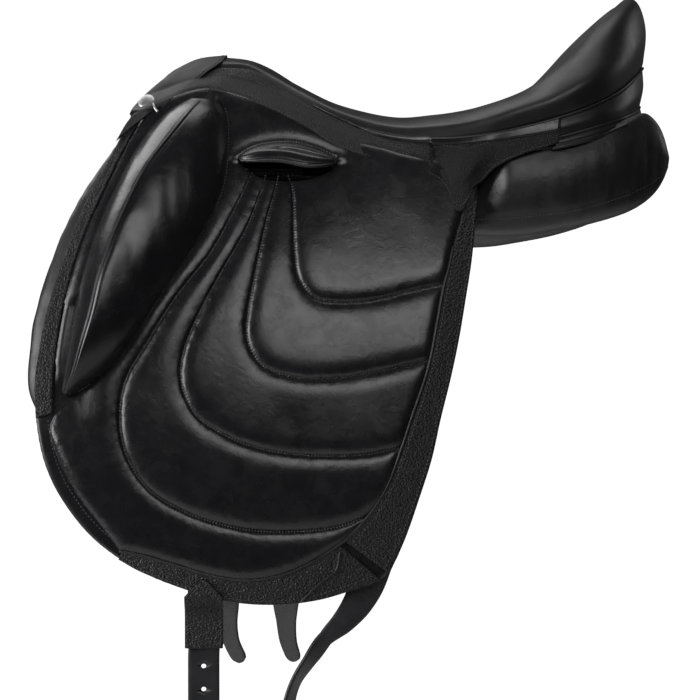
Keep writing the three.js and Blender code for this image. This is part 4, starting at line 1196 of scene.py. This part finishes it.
# ---- the skirts ----
SKIRT_BOTTOM = Rail(
    [over(x, z, 7.5) for x, z in ((-211, 74), (-198, 86), (-175, 105))]
    + [over(x, z, 6.6) for x, z in (
        (-150, 120), (-130, 121), (-104, 114), (-74, 102), (-44, 85), (-30, 74), (-10, 65),
        (20, 55), (47, 47), (66, 40), (73, 30), (77, 17), (83, 13), (89, 20), (93, 32),
        (104, 41))]
    + [[118, -124, 54], [144, -128, 66], [165, -129, 72.5], [169.5, -129.5, 75]])
SKIRT_TOP = Rail([[-122, -45.5, 146]] + [[x, y - 1.5, z - 1.5] for x, y, z in SEAM_OVER_SKIRT])
SKIRT_FRONT = Rail([[-122, -45.5, 146], [-140, -51, 136], [-153, -56, 124], [-164, -59, 114],
                    [-180, -63, 105], [-197, -67, 97], over(-211.0, 74.0, 7.5)])
SKIRT_REAR = Rail([[172, -128.5, 95.5], [171, -129.5, 85], [169.5, -129.5, 75]])
# How far the leather leans in above the flap's top, for each millimetre it rises.
SKIRT_LEAN = 1.8


def bending_pair(name, geometry, material, nodes=()):
    """A near piece and its mirrored off piece, which hide the nodes they replace; neither is
    attached to a body.
    """
    for side, turn in SIDES.items():
        ob = side_mesh(side, name, geometry, material)
        if nodes:
            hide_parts(*[f"{side}_{n}" for n in nodes])
        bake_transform(ob)


def skirt_limit(x, z, lean=SKIRT_LEAN):
    """How far out leather over the flap's top lies; above that top it leans in."""
    above = np.maximum(z - FLAP_TOP.where(0, x, 1) - 3, 0) * lean
    lift = 6.8 + 2.2 * smooth_step((-170 - x) / 10)
    return -(flap_half(x, z) + lift - above - np.maximum(x - 100, 0) * 0.8)


def skirt_surface(us, vs):
    grid = patch(SKIRT_TOP, SKIRT_BOTTOM, SKIRT_FRONT, SKIRT_REAR, us, vs)
    x = grid[..., 0]
    belly = 5 * np.sin(math.pi * vs)[:, None] * np.where(x < 60, 1.0, 0.3)
    belly = belly * smooth_step(us / 0.12)
    grid = grid + belly[..., None] * [0, -0.85, 0.5]
    x, z = grid[..., 0], grid[..., 2]
    lean = SKIRT_LEAN - 0.8 * smooth_step((x + 135) / 15)
    grid[..., 1] = np.minimum(grid[..., 1], skirt_limit(x, z, lean))
    return grid


SKIRT_FACING = np.array([0.0, -1.0, 0.4])
SKIRT_THICK = 2.2
# Each row of stitches: its place down the skirt, and where it starts and stops along it.
SKIRT_ROWS = ((0.93, 0.13, 0.985), (0.17, 0.02, 0.98))
BINDING_START = 0.3


def build_skirt():
    us = edged(190, 0.005)
    vs = edged(34, 0.025)
    grid = skirt_surface(us, vs)
    n = normals_of(grid, SKIRT_FACING)
    wave = roughen(grid, 34.0, 0.7, 61) * np.sin(math.pi * vs)[:, None]
    geometry = sheet(grid, n, SKIRT_THICK + wave, wave, edge=1.1)
    bending_pair("skirt_leather", geometry, SKIRT_LEATHER, ["skirt"])
    parts = []
    for v, start, stop in SKIRT_ROWS:
        nearby = np.array([0.0, v - 0.03, v, v + 0.03])
        line = skirt_surface(start + (stop - start) * steps(200), nearby)
        ups = normals_of(line, SKIRT_FACING)[2]
        parts.append(stitches(line[2] + ups * 2.55, ups, pitch=3.0, long=2.1, thick=0.36))
    bending_pair("skirt_stitching", join(parts), THREAD)


def build_skirt_binding():
    """A smooth strip along the seat's seam, which widens towards the cantle."""
    us = BINDING_START + 0.695 * edged(120, 0.006)
    deep = np.linalg.norm(SKIRT_TOP(us) - SKIRT_BOTTOM(us), axis=-1)
    wide = 1.5 + 5.5 * smooth_step((us - BINDING_START) / 0.25)
    wide = (wide + 5.0 * smooth_step((us - 0.75) / 0.25)) / deep
    vs = edged(8, 0.08)
    rows = np.array([skirt_surface(np.array([u - 1e-3, u]), w * vs)[:, 1]
                     for u, w in zip(us, wide)])
    strip = sheet(rows, normals_of(rows, SKIRT_FACING), 3.9, 1.8, edge=0.9)
    bending_pair("skirt_binding", strip, CALF)


# ---- the cap over the pommel ----
CAP_SEAM = Rail([[-114, 0, 164], [-115, -26, 161.3], [-119, -40, 154.8], [-126, -47, 148.5],
                 [-132.5, -51.5, 143.5], [-146, -57.5, 130.8], [-162, -62.5, 116.7],
                 [-172, -67, 106], [-182, -67, 99]])
CAP_CROWN = Rail([[-140, 0, 161], [-140, -22, 158], [-143, -36, 150], [-152, -44, 141],
                  [-160, -50, 133], [-168, -55, 124], [-176, -58, 117], [-184, -60, 110],
                  [-193, -62, 101]])
CAP_FRONT = Rail([[-159, 0, 151], [-161, -20, 148.5], [-166, -33, 142], [-174, -41, 134.5],
                  [-181.5, -47, 127], [-188, -52, 120], [-193.5, -55, 113], [-198, -58, 106],
                  [-201, -60, 100]])
CAP_UNDER = Rail([[-166, 0, 146], [-168, -18, 143], [-173, -30, 136], [-180, -37, 129],
                  [-187, -43, 122], [-192.5, -47, 115], [-197.5, -50, 108], [-201, -53, 102],
                  [-203, -55, 98]])
# A facing of the same leather closes the front, down over the tree's head.
FACING_LOW = Rail([[-150, 0, 130], [-151, -16, 126], [-150, -26, 118], [-146, -34, 106],
                   [-150, -40, 96], [-160, -46, 88], [-172, -50, 84]])
STUD_AT = 0.87
CAP_END = 0.97
CAP_ROUNDING = 0.09
CAP_CORE = np.array([-140.0, 0.0, 60.0])
# The knot across the cap that its rounded end narrows to.
CAP_TONGUE = 1.35


def cap_surface(ts, across):
    """The near half of the cap's leather, which laps over the skirt."""
    rows = []
    for t in ts:
        line = Rail([r(t) for r in (CAP_SEAM, CAP_CROWN, CAP_FRONT, CAP_UNDER)])
        # the end is rounded below the stud
        close = np.clip((t - CAP_END + CAP_ROUNDING) / CAP_ROUNDING, 0, 1)
        narrow = 0.25 + 0.75 * math.sqrt(1 - close * close)
        rows.append(line.knot(CAP_TONGUE + (across - CAP_TONGUE) * narrow))
    grid = np.array(rows)
    x, y, z = grid[..., 0], grid[..., 1], grid[..., 2]
    push = np.minimum(skirt_limit(x, z) - 3.2 - y, 0) * smooth_step((-118 - x) / 20)
    grid[..., 1] = y + push * (1 - smooth_step((across - 1.9) / 1.0))
    return grid


def cap_stops():
    return np.concatenate([[0.0], edged(60, 0.01)[3:]]) * CAP_END


def build_cap():
    across = edged(18, 0.04) * 3
    grid = both_halves(cap_surface(cap_stops(), across))
    n = normals_of(grid, grid - CAP_CORE)
    geometry = sheet(grid, n, 0.5, -2.0, edge=1.5)
    single("pommel_cap_leather", geometry, CAP_CALF, "smooth_leather", ["pommel_cap"])
    parts = []
    for column in (3, len(across) - 5):
        line = grid[:, column] + n[:, column] * 0.85
        parts.append(stitches(line[6:-3], n[6:-3, column], pitch=3.0, long=2.1, thick=0.36))
    single("cap_stitching", join(parts), THREAD, "smooth_leather")
    welt = both_halves(cap_surface(CAP_END * 0.93 * steps(90), np.array([0.0, 0.1]))[:, 0])
    single("cap_welt", tube(welt + [0, 0, -0.4], 0.9, (0, -0.4, 1)), CALF, "smooth_leather")


def build_head_facing():
    ts = cap_stops()
    vs = edged(14, 0.05)
    front = CAP_UNDER(ts * 0.97)
    low = FACING_LOW(ts)
    half = np.stack([front + [1.5, 0, 0.5] + (low - front) * v for v in vs], axis=1)
    half[:, :, 0] -= 5.0 * np.sin(math.pi * vs)[None, :]
    facing = both_halves(half)
    up = normals_of(facing, np.array([-1.0, 0.0, 0.2]))
    single("head_facing", sheet(facing, up, 1.4, -0.6, edge=1.0), CALF, "smooth_leather")


def stud_frame():
    patch_of_cap = cap_surface([STUD_AT - 0.03, STUD_AT, STUD_AT + 0.03],
                               np.array([0.95, 1.2, 1.45]))
    n = normals_of(patch_of_cap, np.array([-0.3, -1.0, 0.5]))[1, 1]
    n = unit(n + [0.0, -0.8, 0.0])
    return patch_of_cap[1, 1] + n * 1.2, n


def lathe(profile, centre, axis, sides=48):
    """A turned body from (radius, height) points about an axis."""
    a = unit(np.cross(axis, [0.0, 0.0, 1.0]))
    b = np.cross(axis, a)
    loops = [[centre + axis * h + (a * math.cos(t) + b * math.sin(t)) * max(r, 0.01)
              for t in circle(sides)] for r, h in profile]
    return loft(loops)


STUD_DOME = Rail([[0.2, -1.5], [7.2, -1.5], [7.7, 0.2], [7.7, 0.9], [6.9, 1.6], [5.2, 2.1],
                  [2.8, 2.45], [0.02, 2.6]])
TRIM_EDGE = ((-179.5, 110.5), (-179.0, 107.5), (-177.5, 104.0), (-175.5, 101.5))


def build_stud():
    p, n = stud_frame()
    dome = lathe(STUD_DOME.knot(np.linspace(0, 7, 46)), p + n * 0.6, n)
    pair("stud_head", dome, CHROME, "chrome", ["stud"])


def build_cap_trim():
    """The bright edging below the stud, which widens downwards."""
    line = Rail([[x, skirt_limit(np.array(x), np.array(z)) - 4.2, z] for x, z in TRIM_EDGE])
    ts = steps(24)
    path = line(ts)
    _, wide, thin = frames_along(path, (1, -0.2, 0.3))
    loops = [[c + p * math.cos(g) * (0.5 + 0.6 * t) + q * math.sin(g) * 0.5 for g in circle(14)]
             for c, p, q, t in zip(path, wide, thin, ts)]
    pair("cap_end_trim", loft(loops), CHROME, "chrome", ["cap_trim"])


# ---- the cantle band and the welt below it ----
BAND_TOP = Rail([[166, -127, 94], [176, -127.5, 97], [202, -121, 106.6], [228, -103, 120.6],
                 [250, -72, 137.5], [266, -36, 151.5], [272, 0, 156.6]])
BAND_LOW = Rail([[166, -127.3, 78.5], [178, -128, 81.5], [204, -122, 89], [231, -104, 99],
                 [251, -73, 109], [263, -37, 118], [268, 0, 121]])
WELT_LOW = Rail([[166, -126.5, 70], [176, -127, 72], [202, -121, 79], [229, -103, 89.5],
                 [249, -73, 99.5], [261, -37, 108.5], [266, 0, 112]])
CANTLE_CENTRE_X = 120.0


def from_cantle_centre(points):
    """Level directions from the upright line at the cantle's centre."""
    return (points - [CANTLE_CENTRE_X, 0.0, 0.0]) * [1, 1, 0]


def cantle_strip(top, low, bulge, thick, drop, name, node, seed):
    ts = edged(70, 0.006)[::-1]
    ts = np.concatenate([[1.0], ts[3:]])
    across = edged(16, 0.05) * 2
    rows = []
    for t in ts:
        a, b = top(t), low(t)
        m = (a + b) / 2
        m = m + unit(from_cantle_centre(m)) * bulge
        rows.append(Rail([a, m, b]).knot(across) + [0, 0, drop])
    grid = both_halves(np.array(rows))
    n = normals_of(grid, from_cantle_centre(grid))
    wave = roughen(grid, 22.0, 0.5, seed)
    geometry = sheet(grid, n, 0.2 + wave, -thick, edge=1.4)
    single(name, geometry, SEAT_CALF, "smooth_leather", [node])


def build_cantle():
    cantle_strip(BAND_TOP, BAND_LOW, 2.0, 3.0, 0.0, "cantle_band_leather", "cantle_band", 71)
    cantle_strip(BAND_LOW, WELT_LOW, 2.5, 4.0, -0.8, "cantle_welt_leather", "cantle_welt", 72)
    cords = []
    for rail, radius in ((BAND_LOW, 1.2), (WELT_LOW, 1.6)):
        line = both_halves(rail(1 - steps(80)))
        out = unit(from_cantle_centre(line))
        cords.append(tube(line + out * 0.3 - [0, 0, 0.3], radius, UPWARD))
    single("cantle_piping", join(cords), CALF, "smooth_leather")


# ---- the flocked panels ----
# Each station holds x, the inner and outer edges, the bottom, the outer and inner tops.
PANEL_STATIONS = Rail([
    [-190, 50, 84, 46, 80, 62], [-180, 47, 92, 34, 78, 62], [-160, 44, 104, 18, 66, 58],
    [-125, 42, 112, 7, 46, 50], [-60, 42, 116, 1, 44, 48], [-10, 42, 119, 0, 46, 48],
    [50, 42, 122, -3, 52, 46], [100, 42, 124, -4, 54, 48], [140, 43, 126, -3, 62, 54],
    [172, 44, 126, 0, 67, 58], [200, 46, 123, 5, 75, 64], [220, 48, 118, 10.5, 82, 70],
    [240, 50, 110, 17.5, 91, 78], [255, 54, 101, 25.5, 98, 85], [265, 58, 95, 34, 94, 85],
    [273, 63, 89, 45, 82, 78], [278.5, 69, 83, 57, 69, 67]])
PANEL_TOP_RISE = 7.0
PANEL_WIDEST = 130.0
INSIDE_FLAP = 15.0
INSIDE_ROLL = 18.0
# How many points go round a section's leather, and the ones its seam and piping follow.
PANEL_POINTS = 48
GUSSET_SEAM = 32
PIPING_ROW = 46


def panel_limit(x, z):
    """The panel keeps inside the flap, and swells out again behind it."""
    under_roll = INSIDE_ROLL * np.clip((-130 - x) / 30, 0, 1)
    free = np.clip((x - 90) / 40, 0, 1)
    return (flap_half(x, z) - INSIDE_FLAP - under_roll) * (1 - free) + PANEL_WIDEST * free


def panel_section(t):
    x, yi, yo, zb, zt, zin = PANEL_STATIONS(t)
    # the leather closes up against the skirt and the welt above it
    zt = zt + 2.0 + PANEL_TOP_RISE * smooth_step((x - 70) / 40) * smooth_step((268 - x) / 25)
    w, h = yo - yi, zt - zb
    return np.array([
        [x, -min(y, panel_limit(x, z)), z] for y, z in (
            (yi + w * 0.08, zin), (yi, zb + h * 0.42), (yi + w * 0.08, zb + h * 0.17),
            (yi + w * 0.32, zb + h * 0.03), (yi + w * 0.62, zb), (yi + w * 0.88, zb + h * 0.08),
            (yo, zb + h * 0.34), (yo + 2, zb + h * 0.66), (yo - w * 0.06, zt))])


def panel_loop(t):
    """One closed section, round the leather and back over the top."""
    low = Rail(panel_section(t)).knot(np.linspace(0, 8, PANEL_POINTS))
    k = steps(9)[1:-1]
    top = low[-1] * (1 - k[:, None]) + low[0] * k[:, None]
    top[:, 2] += np.sin(math.pi * k) * 1.5
    return np.concatenate([low, top])


def build_panel():
    ts = edged(150, 0.012)
    loops = np.array([panel_loop(t) for t in ts])
    centre = loops.mean(axis=1, keepdims=True)
    out = unit((loops - centre) * [0.15, 1, 1])
    # the gusset's seam runs low along the outer side, with puckers above it
    k = np.arange(loops.shape[1])
    gusset = np.exp(-((k - GUSSET_SEAM) / 0.7) ** 2) * (k < PANEL_POINTS)
    near_seam = np.exp(-((k - GUSSET_SEAM - 2) / 7.0) ** 2) * (k < PANEL_POINTS)
    rear = smooth_step((loops[..., 0] - 120) / 60)
    pucker = roughen(loops * [1.0, 0.25, 0.18], 6.5, 1.3, 81) * near_seam * (0.35 + 0.65 * rear)
    slack = roughen(loops, 48.0, 2.0, 82) + roughen(loops * [0.5, 1.0, 1.0], 20.0, 0.6, 83)
    ends = np.minimum(smooth_step(ts / 0.06), smooth_step((1 - ts) / 0.06))[:, None]
    swell = np.maximum(pucker + slack, -0.5) * ends - 0.8 * gusset
    loops = loops + out * swell[..., None]
    inward = np.minimum(panel_limit(loops[..., 0], loops[..., 2]) + 1.5, PANEL_WIDEST + 3.0)
    loops[..., 1] = np.maximum(loops[..., 1], -inward)
    for ob in pair("panel_leather", loft(loops), PANEL_CALF, "panel_leather", ["panel"]):
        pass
    ups = out[4:-4, GUSSET_SEAM]
    line = loops[4:-4, GUSSET_SEAM] + ups * 0.5
    pair("panel_stitching", stitches(line, ups, pitch=3.2, thick=0.4), THREAD, "panel_leather")
    edge = loops[4:-26, PIPING_ROW] + out[4:-26, PIPING_ROW] * 0.6
    pair("panel_piping", tube(edge, 1.6, OUTWARD), CALF, "panel_leather")


# ---- girth straps ----
# The two sides hang differently: the off straps turn edge-on and curl back.
STRAPS = {
    "near": dict(
        front_x=-136.5,
        front=[[-96, 20], [-108, -60], [-124, -150], [-136.5, -250], [-136.5, -347]],
        front_tail=[[-136.5, -357], [-136.5, -385], [-136.5, -412], [-136.5, -421]],
        front_turn=[0, 0, 0, 0],
        rear=[[-8, 20], [4, -80], [10, -160], [11, -230], [3, -285], [-5, -308],
              [-18, -327], [-36, -344]],
        rear_width=[[0, 30], [0.25, 34], [0.5, 38], [0.72, 36], [0.84, 30], [0.93, 22],
                    [1, 13]],
        rear_tail=[[-49, -362], [-60, -378.5], [-65.5, -394], [-67, -408], [-64, -421]],
        rear_turn=[52, 62, 61, 50, 25]),
    "off": dict(
        front_x=-110,
        front=[[-92, 20], [-96, -60], [-102, -150], [-110, -250], [-110, -347]],
        front_tail=[[-110, -357], [-109.5, -380], [-105, -400], [-95, -421]],
        front_turn=[8, 40, 55, 58],
        rear=[[-8, 20], [-14, -80], [-24, -160], [-36, -240], [-44, -300], [-49, -344]],
        rear_width=[[0, 30], [0.5, 30], [1, 25]],
        rear_tail=[[-50, -362], [-49.5, -380], [-47.5, -400], [-43, -414], [-40, -421]],
        rear_turn=[30, 47, 51, 54, 56]),
}
HIDDEN_STOPS = 22
HOLE_LEVELS = (-366.0, -385.0, -404.0)
HOLE_RADIUS = 2.1
FLAP_FOOT_Z = -352.0
REAR_TIP_WIDTH = 17.0
# Half of a strap's section, as parts of its half-width and half-thickness.
STRAP_SECTION = [(-1, 0.0), (-0.985, 0.6), (-0.93, 0.94), (-0.7, 1.0), (0, 1.0), (0.7, 1.0),
                 (0.93, 0.94), (0.985, 0.6), (1, 0.0)]


def strap_spine(hidden, tail, turns, top_y, width_hidden, width_tail):
    """Centres, directions across and widths, from under the flap to the tip."""
    line = Rail(hidden)
    ts = np.linspace(0, 1, HIDDEN_STOPS)
    p = line(ts)
    side = turned_aside(direction(line, ts, 0.02))
    centres = list(skin(p[:, 0], p[:, 1], STRAP_MID))
    ahead = skin(p[:, 0] + side[:, 0], p[:, 1] + side[:, 1], STRAP_MID)
    across = list(unit(ahead - centres))
    widths = [width_hidden(t) for t in ts]
    drop = np.array([[q[0], 0.0, q[1]] for q in tail])
    for i, (q, a) in enumerate(zip(drop, np.radians(turns))):
        back = centres[-1] * [1, 0, 1] if i == 0 else drop[i - 1]
        on = drop[min(i + 1, len(drop) - 1)]
        run = unit(on - back)
        face = unit([math.sin(a), -math.cos(a), 0.0])
        aside = unit(np.cross(run, face))
        if np.dot(aside, across[-1]) < 0:
            aside = -aside
        centres.append(q + [0, top_y, 0])
        across.append(aside)
        widths.append(width_tail(i / (len(drop) - 1)))
    return np.array(centres), unit(across), np.array(widths)


def strap_body(centres, across, widths, thick, point):
    """A flat strap with rounded edges, narrowed over its last stretch to a point."""
    q = np.linspace(0, len(centres) - 1, len(centres) * 6)
    c = Rail(centres).knot(q)
    # a tiny step keeps equal directions apart
    a = unit(Rail(across + np.arange(len(across))[:, None] * 1e-6).knot(q))
    w = np.interp(q, np.arange(len(widths)), widths)
    gaps = np.linalg.norm(np.diff(c, axis=0), axis=1)
    left = np.concatenate([np.cumsum(gaps[::-1])[::-1], [0.0]])
    w = w * (0.25 + 0.75 * shoulder(left, point))
    n = unit(np.cross(a, unit(np.gradient(c, axis=0))))
    ring = STRAP_SECTION + [(x, -y) for x, y in STRAP_SECTION[-2:0:-1]]
    return loft([[p + s * x * wide / 2 + m * y * thick / 2 for x, y in ring]
                 for p, s, m, wide in zip(c, a, n, w)])


def strap_holes(spine):
    """Round cutters square to the strap's face, one at each hole's level."""
    centre = Rail(spine[0])
    t = np.linspace(0, 1, 400)
    holes = []
    for z in HOLE_LEVELS:
        k = np.argmin(np.abs(spine[0][HIDDEN_STOPS:, 2] - z)) + HIDDEN_STOPS
        at = t[np.argmin(np.abs(centre(t)[:, 2] - z))]
        run = unit(centre(min(at + 0.01, 1.0)) - centre(at - 0.01))
        n = unit(np.cross(spine[1][k], run))
        holes.append(lathe([(HOLE_RADIUS, -9), (HOLE_RADIUS, 9)], centre(at), n, 20))
    return holes


def hang_strap(ob, side, which, y):
    """Hides the strap's CAD nodes and bakes its place into its mesh."""
    y = y * SIDES[side]
    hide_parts(f"{side}_{which}_billet", f"{side}_{which}_billet_tail")
    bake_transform(ob)


def front_strap(side):
    s = STRAPS[side]
    x = s["front_x"]
    y = -flap_half(x, FLAP_FOOT_Z) - STRAP_MID
    spine = strap_spine(s["front"], s["front_tail"], s["front_turn"], y,
                        lambda t: BILLET_WIDTH, lambda t: BILLET_WIDTH)
    body = strap_body(*spine, thick=STRAP_THICK, point=10.0)
    ob = side_mesh(side, "front_strap_leather", body, STRAP)
    if side == "near":
        cut_with(ob, strap_holes(spine))
    hang_strap(ob, side, "front", y)


def rear_strap(side):
    s = STRAPS[side]
    y = -flap_half(s["rear_tail"][0][0], FLAP_FOOT_Z) - STRAP_MID
    wide = Rail(s["rear_width"])
    last = s["rear_width"][-1][1]
    spine = strap_spine(s["rear"], s["rear_tail"], s["rear_turn"], y,
                        lambda t: wide.where(0, t, 1),
                        lambda t: last + 4 + t * (REAR_TIP_WIDTH - last))
    body = strap_body(*spine, thick=REAR_STRAP_THICK, point=8.0)
    ob = side_mesh(side, "rear_strap_leather", body, STRAP)
    hang_strap(ob, side, "rear", y)


def build_straps():
    for side in SIDES:
        front_strap(side)
        rear_strap(side)


# ---- the keeper sleeves at the flap's foot ----
ROUNDED = [(-1, -0.7), (-0.96, -1), (0, -1), (0.96, -1), (1, -0.7), (1, 0.7), (0.96, 1),
           (0, 1), (-0.96, 1), (-1, 0.7)]
SLEEVE_TOP_Z = -314
SLEEVE_LOW_Z = -351
SLEEVE_GROW = 2.7
SLEEVE_EDGE = 0.6
TONGUE_TOP_Z = -293
# The tongue's height over the flap at each level, from the band down over the flap's edge.
TONGUE_LEVEL = Rail([[TONGUE_TOP_Z, 6.8], [-300, 7.2], [-307, 7.0], [-313, 4.8], [-319, 0.4],
                     [-326, -1.2], [-338, -1.4], [-350.6, -1.6]])


def sleeve_tube(x):
    """A flat tube round the strap, with thinned rims."""
    outer = []
    inner = []
    for z in np.linspace(SLEEVE_TOP_Z, SLEEVE_LOW_Z, 14):
        rim = SLEEVE_EDGE if z in (SLEEVE_TOP_Z, SLEEVE_LOW_Z) else 0.0
        for loops, grow in ((outer, SLEEVE_GROW - rim), (inner, 0.5 + rim * 0.4)):
            loops.append([skin(x + u * (BILLET_WIDTH / 2 + grow), z, STRAP_MID + v * (1.75 + grow))
                          for u, v in ROUNDED])
    return loft(outer + inner[::-1], ring=True)


def sleeve_tongue(x):
    us = edged(14, 0.06)[None, :]
    z, lift = [axis[:, None] + 0 * us for axis in TONGUE_LEVEL(edged(40, 0.02)).T]
    taper = np.clip(0.12 + (z[:, :1] - TONGUE_TOP_Z) / -16.0, 0, 1)
    wide = (BILLET_WIDTH / 2 + SLEEVE_GROW) * taper
    base = skin(x + (us * 2 - 1) * wide, z, lift)
    return sheet(base, normals_of(base, np.array([0.0, -1.0, 0.2])), 1.3, -0.5, edge=0.8)


def sleeve_rows(x):
    z, lift = TONGUE_LEVEL(0.04 + 0.94 * steps(40)).T
    k = np.clip(0.02 + (z - TONGUE_TOP_Z) / -18.0, 0, 1)
    ups = np.tile([0.0, -1.0, 0.1], (len(z), 1))
    return join([stitches(skin(x + s * (BILLET_WIDTH / 2 + 0.6) * k, z, lift + 1.5), ups,
                          pitch=3.0, long=2.0, thick=0.35) for s in (-1, 1)])


def build_sleeves():
    """The keeper behind the flap's edge, and the tongue that holds it in front."""
    for side in SIDES:
        x = STRAPS[side]["front_x"]
        for name, geometry, material, nodes in (
                ("sleeve_leather", sleeve_tube(x), PEBBLE, [f"{side}_billet_sleeve"]),
                ("sleeve_tongue", sleeve_tongue(x), PEBBLE, ()),
                ("sleeve_stitching", sleeve_rows(x), THREAD, ())):
            ob = side_mesh(side, name, geometry, material)
            place(ob, f"{side}_flap_set", "grain_leather", nodes)


# ---- the flap's lining ----
LINING_HEM = 4.0


def build_lining():
    us = 0.03 + 0.94 * edged(60, 0.01)
    vs = 0.17 + 0.805 * edged(70, 0.01)
    base, n = on_flap(flap_grid(us, vs))
    wave = roughen(base, 45.0, 0.5, 91)
    geometry = sheet(base, n, LINING_OUT + wave * 0.4, LINING_IN + wave, edge=1.2)
    on_flap_set("lining_leather", geometry, LINING, "lining_leather", ["flap_lining"])
    parts = []
    for u, hem in ((us[0], LINING_HEM), (us[-1], -LINING_HEM)):
        line = flap_grid(np.array([u]), vs)[3:-3, 0] + [hem, 0.0]
        points, normals = rows_on(Rail(line), LINING_IN - 0.4)
        parts.append(stitches(points, -normals, pitch=3.4))
    on_flap_set("lining_stitching", join(parts), THREAD, "lining_leather")


# ---- camera, lights and floor ----
def look_from(ob, where, at):
    ob.location = where
    ob.rotation_euler = (Vector(at) - Vector(where)).to_track_quat("-Z", "Y").to_euler()


def add_light(name, where, at, size, tall, power):
    data = bpy.data.lights.new(name, "AREA")
    data.shape = "RECTANGLE"
    data.size = size
    data.size_y = tall
    data.energy = power
    look_from(add_object(name, data), where, at)


def stage_mesh(name, verts, faces, tone, glow):
    material = bpy.data.materials.new(name)
    material.use_nodes = True
    shader = material.node_tree.nodes["Principled BSDF"]
    shader.inputs["Base Color"].default_value = (tone, tone, tone, 1)
    shader.inputs["Roughness"].default_value = 0.9
    shader.inputs["Emission Color"].default_value = (1, 1, 1, 1)
    shader.inputs["Emission Strength"].default_value = glow
    ob = add_mesh(name, verts, faces, material, scale=1.0)
    return ob


# Metres from here on.
CAMERA_AZIMUTH = math.radians(-5.0)
CAMERA_TARGET = Vector((0.0, 0.0, -0.105))
CAMERA_DISTANCE = 1.75
CAMERA_SENSOR = 36.0
CAMERA_LENS = 97.4
WORLD_TINT = (0.9, 0.94, 1.0, 1)
WORLD_LIGHT = 0.022
FLOOR_Z = -0.78
FLOOR_RADIUS = 1.55
STUDIO_RADIUS = 7.0
RING_STEPS = 64
# The backdrop's rings: height and radius, as parts of the studio's radius.
BACKDROP_RINGS = ((-0.9, 0.6), (0.0, 1.0), (0.5, 0.87), (0.87, 0.5), (0.98, 0.2))
LIGHTS = (
    # name, place, aim, width, height, watts
    ("front_box", (0.3, -2.0, 1.0), (0.0, -0.15, -0.08), 1.4, 0.75, 14.0),
    ("left_box", (-2.1, -1.0, 0.4), (-0.1, -0.12, -0.02), 1.1, 1.5, 48.0),
    ("top_strip", (0.1, 0.15, 1.9), (0.05, 0.0, 0.1), 1.6, 0.8, 12.0),
    ("back_box", (-1.3, 1.3, 1.8), (0.05, 0.0, 0.1), 1.5, 1.5, 24.0),
    ("rear_rim", (2.2, 0.7, 0.9), (0.2, 0.0, 0.1), 0.9, 0.9, 4.0))


def build_camera():
    back = Vector((math.sin(CAMERA_AZIMUTH), -math.cos(CAMERA_AZIMUTH), 0.0))
    data = bpy.data.cameras.new("camera")
    data.sensor_width = CAMERA_SENSOR
    data.lens = CAMERA_LENS
    data.clip_end = 50.0
    camera = add_object("camera", data)
    look_from(camera, CAMERA_TARGET + back * CAMERA_DISTANCE, CAMERA_TARGET)
    bpy.context.scene.camera = camera


def build_world():
    world = bpy.data.worlds.new("studio")
    world.use_nodes = True
    background = world.node_tree.nodes["Background"]
    background.inputs["Color"].default_value = WORLD_TINT
    background.inputs["Strength"].default_value = WORLD_LIGHT
    bpy.context.scene.world = world
    bpy.context.scene.view_settings.view_transform = "Standard"


def build_backdrop():
    """A grey floor, and a white dome that only the camera sees."""
    around = [(math.cos(a), math.sin(a)) for a in circle(RING_STEPS)]
    disc = [(x * FLOOR_RADIUS, y * FLOOR_RADIUS, FLOOR_Z) for x, y in around]
    ring = tuple(range(RING_STEPS))
    stage_mesh("floor", disc, [ring], 0.86, 0.0)
    rows = [(x * k * STUDIO_RADIUS, y * k * STUDIO_RADIUS, h * STUDIO_RADIUS)
            for h, k in BACKDROP_RINGS for x, y in around]
    last = (len(BACKDROP_RINGS) - 1) * RING_STEPS
    faces = [(a + j, a + (j + 1) % RING_STEPS, a + RING_STEPS + (j + 1) % RING_STEPS,
              a + RING_STEPS + j) for a in range(0, last, RING_STEPS) for j in ring]
    faces += [tuple(last + j for j in ring), ring]
    backdrop = stage_mesh("backdrop", rows, faces, 1, 1.0)
    backdrop.visible_diffuse = False
    backdrop.visible_glossy = False
    backdrop.visible_shadow = False
    backdrop.visible_transmission = False


def build_studio():
    build_camera()
    build_world()
    build_backdrop()
    for light in LIGHTS:
        add_light(*light)


# ---- everything ----
build_studio()
build_flap()
build_flap_stitching()
build_trims()
build_block()
build_hood()
build_roll()
build_seat()
build_seat_inside()
build_seat_piping()
build_skirt()
build_skirt_binding()
build_cap()
build_head_facing()
build_stud()
build_cap_trim()
build_cantle()
build_panel()
build_straps()
build_sleeves()
build_lining()

refinish("tree", BEECH)
refinish("head_plate", BLACK_COAT_SHADE_STEEL)
for near_or_off in SIDES:
    # the stirrup bars' near-black tone is partly painted shade for the inside of the hood's mouth
    refinish(f"{near_or_off}_stirrup_bar", BLACK_COAT_SHADE_STEEL)
    refinish(f"{near_or_off}_bar_catch", BLACK_COAT_SHADE_STEEL)
    refinish(f"{near_or_off}_panel_flock", FLOCK)
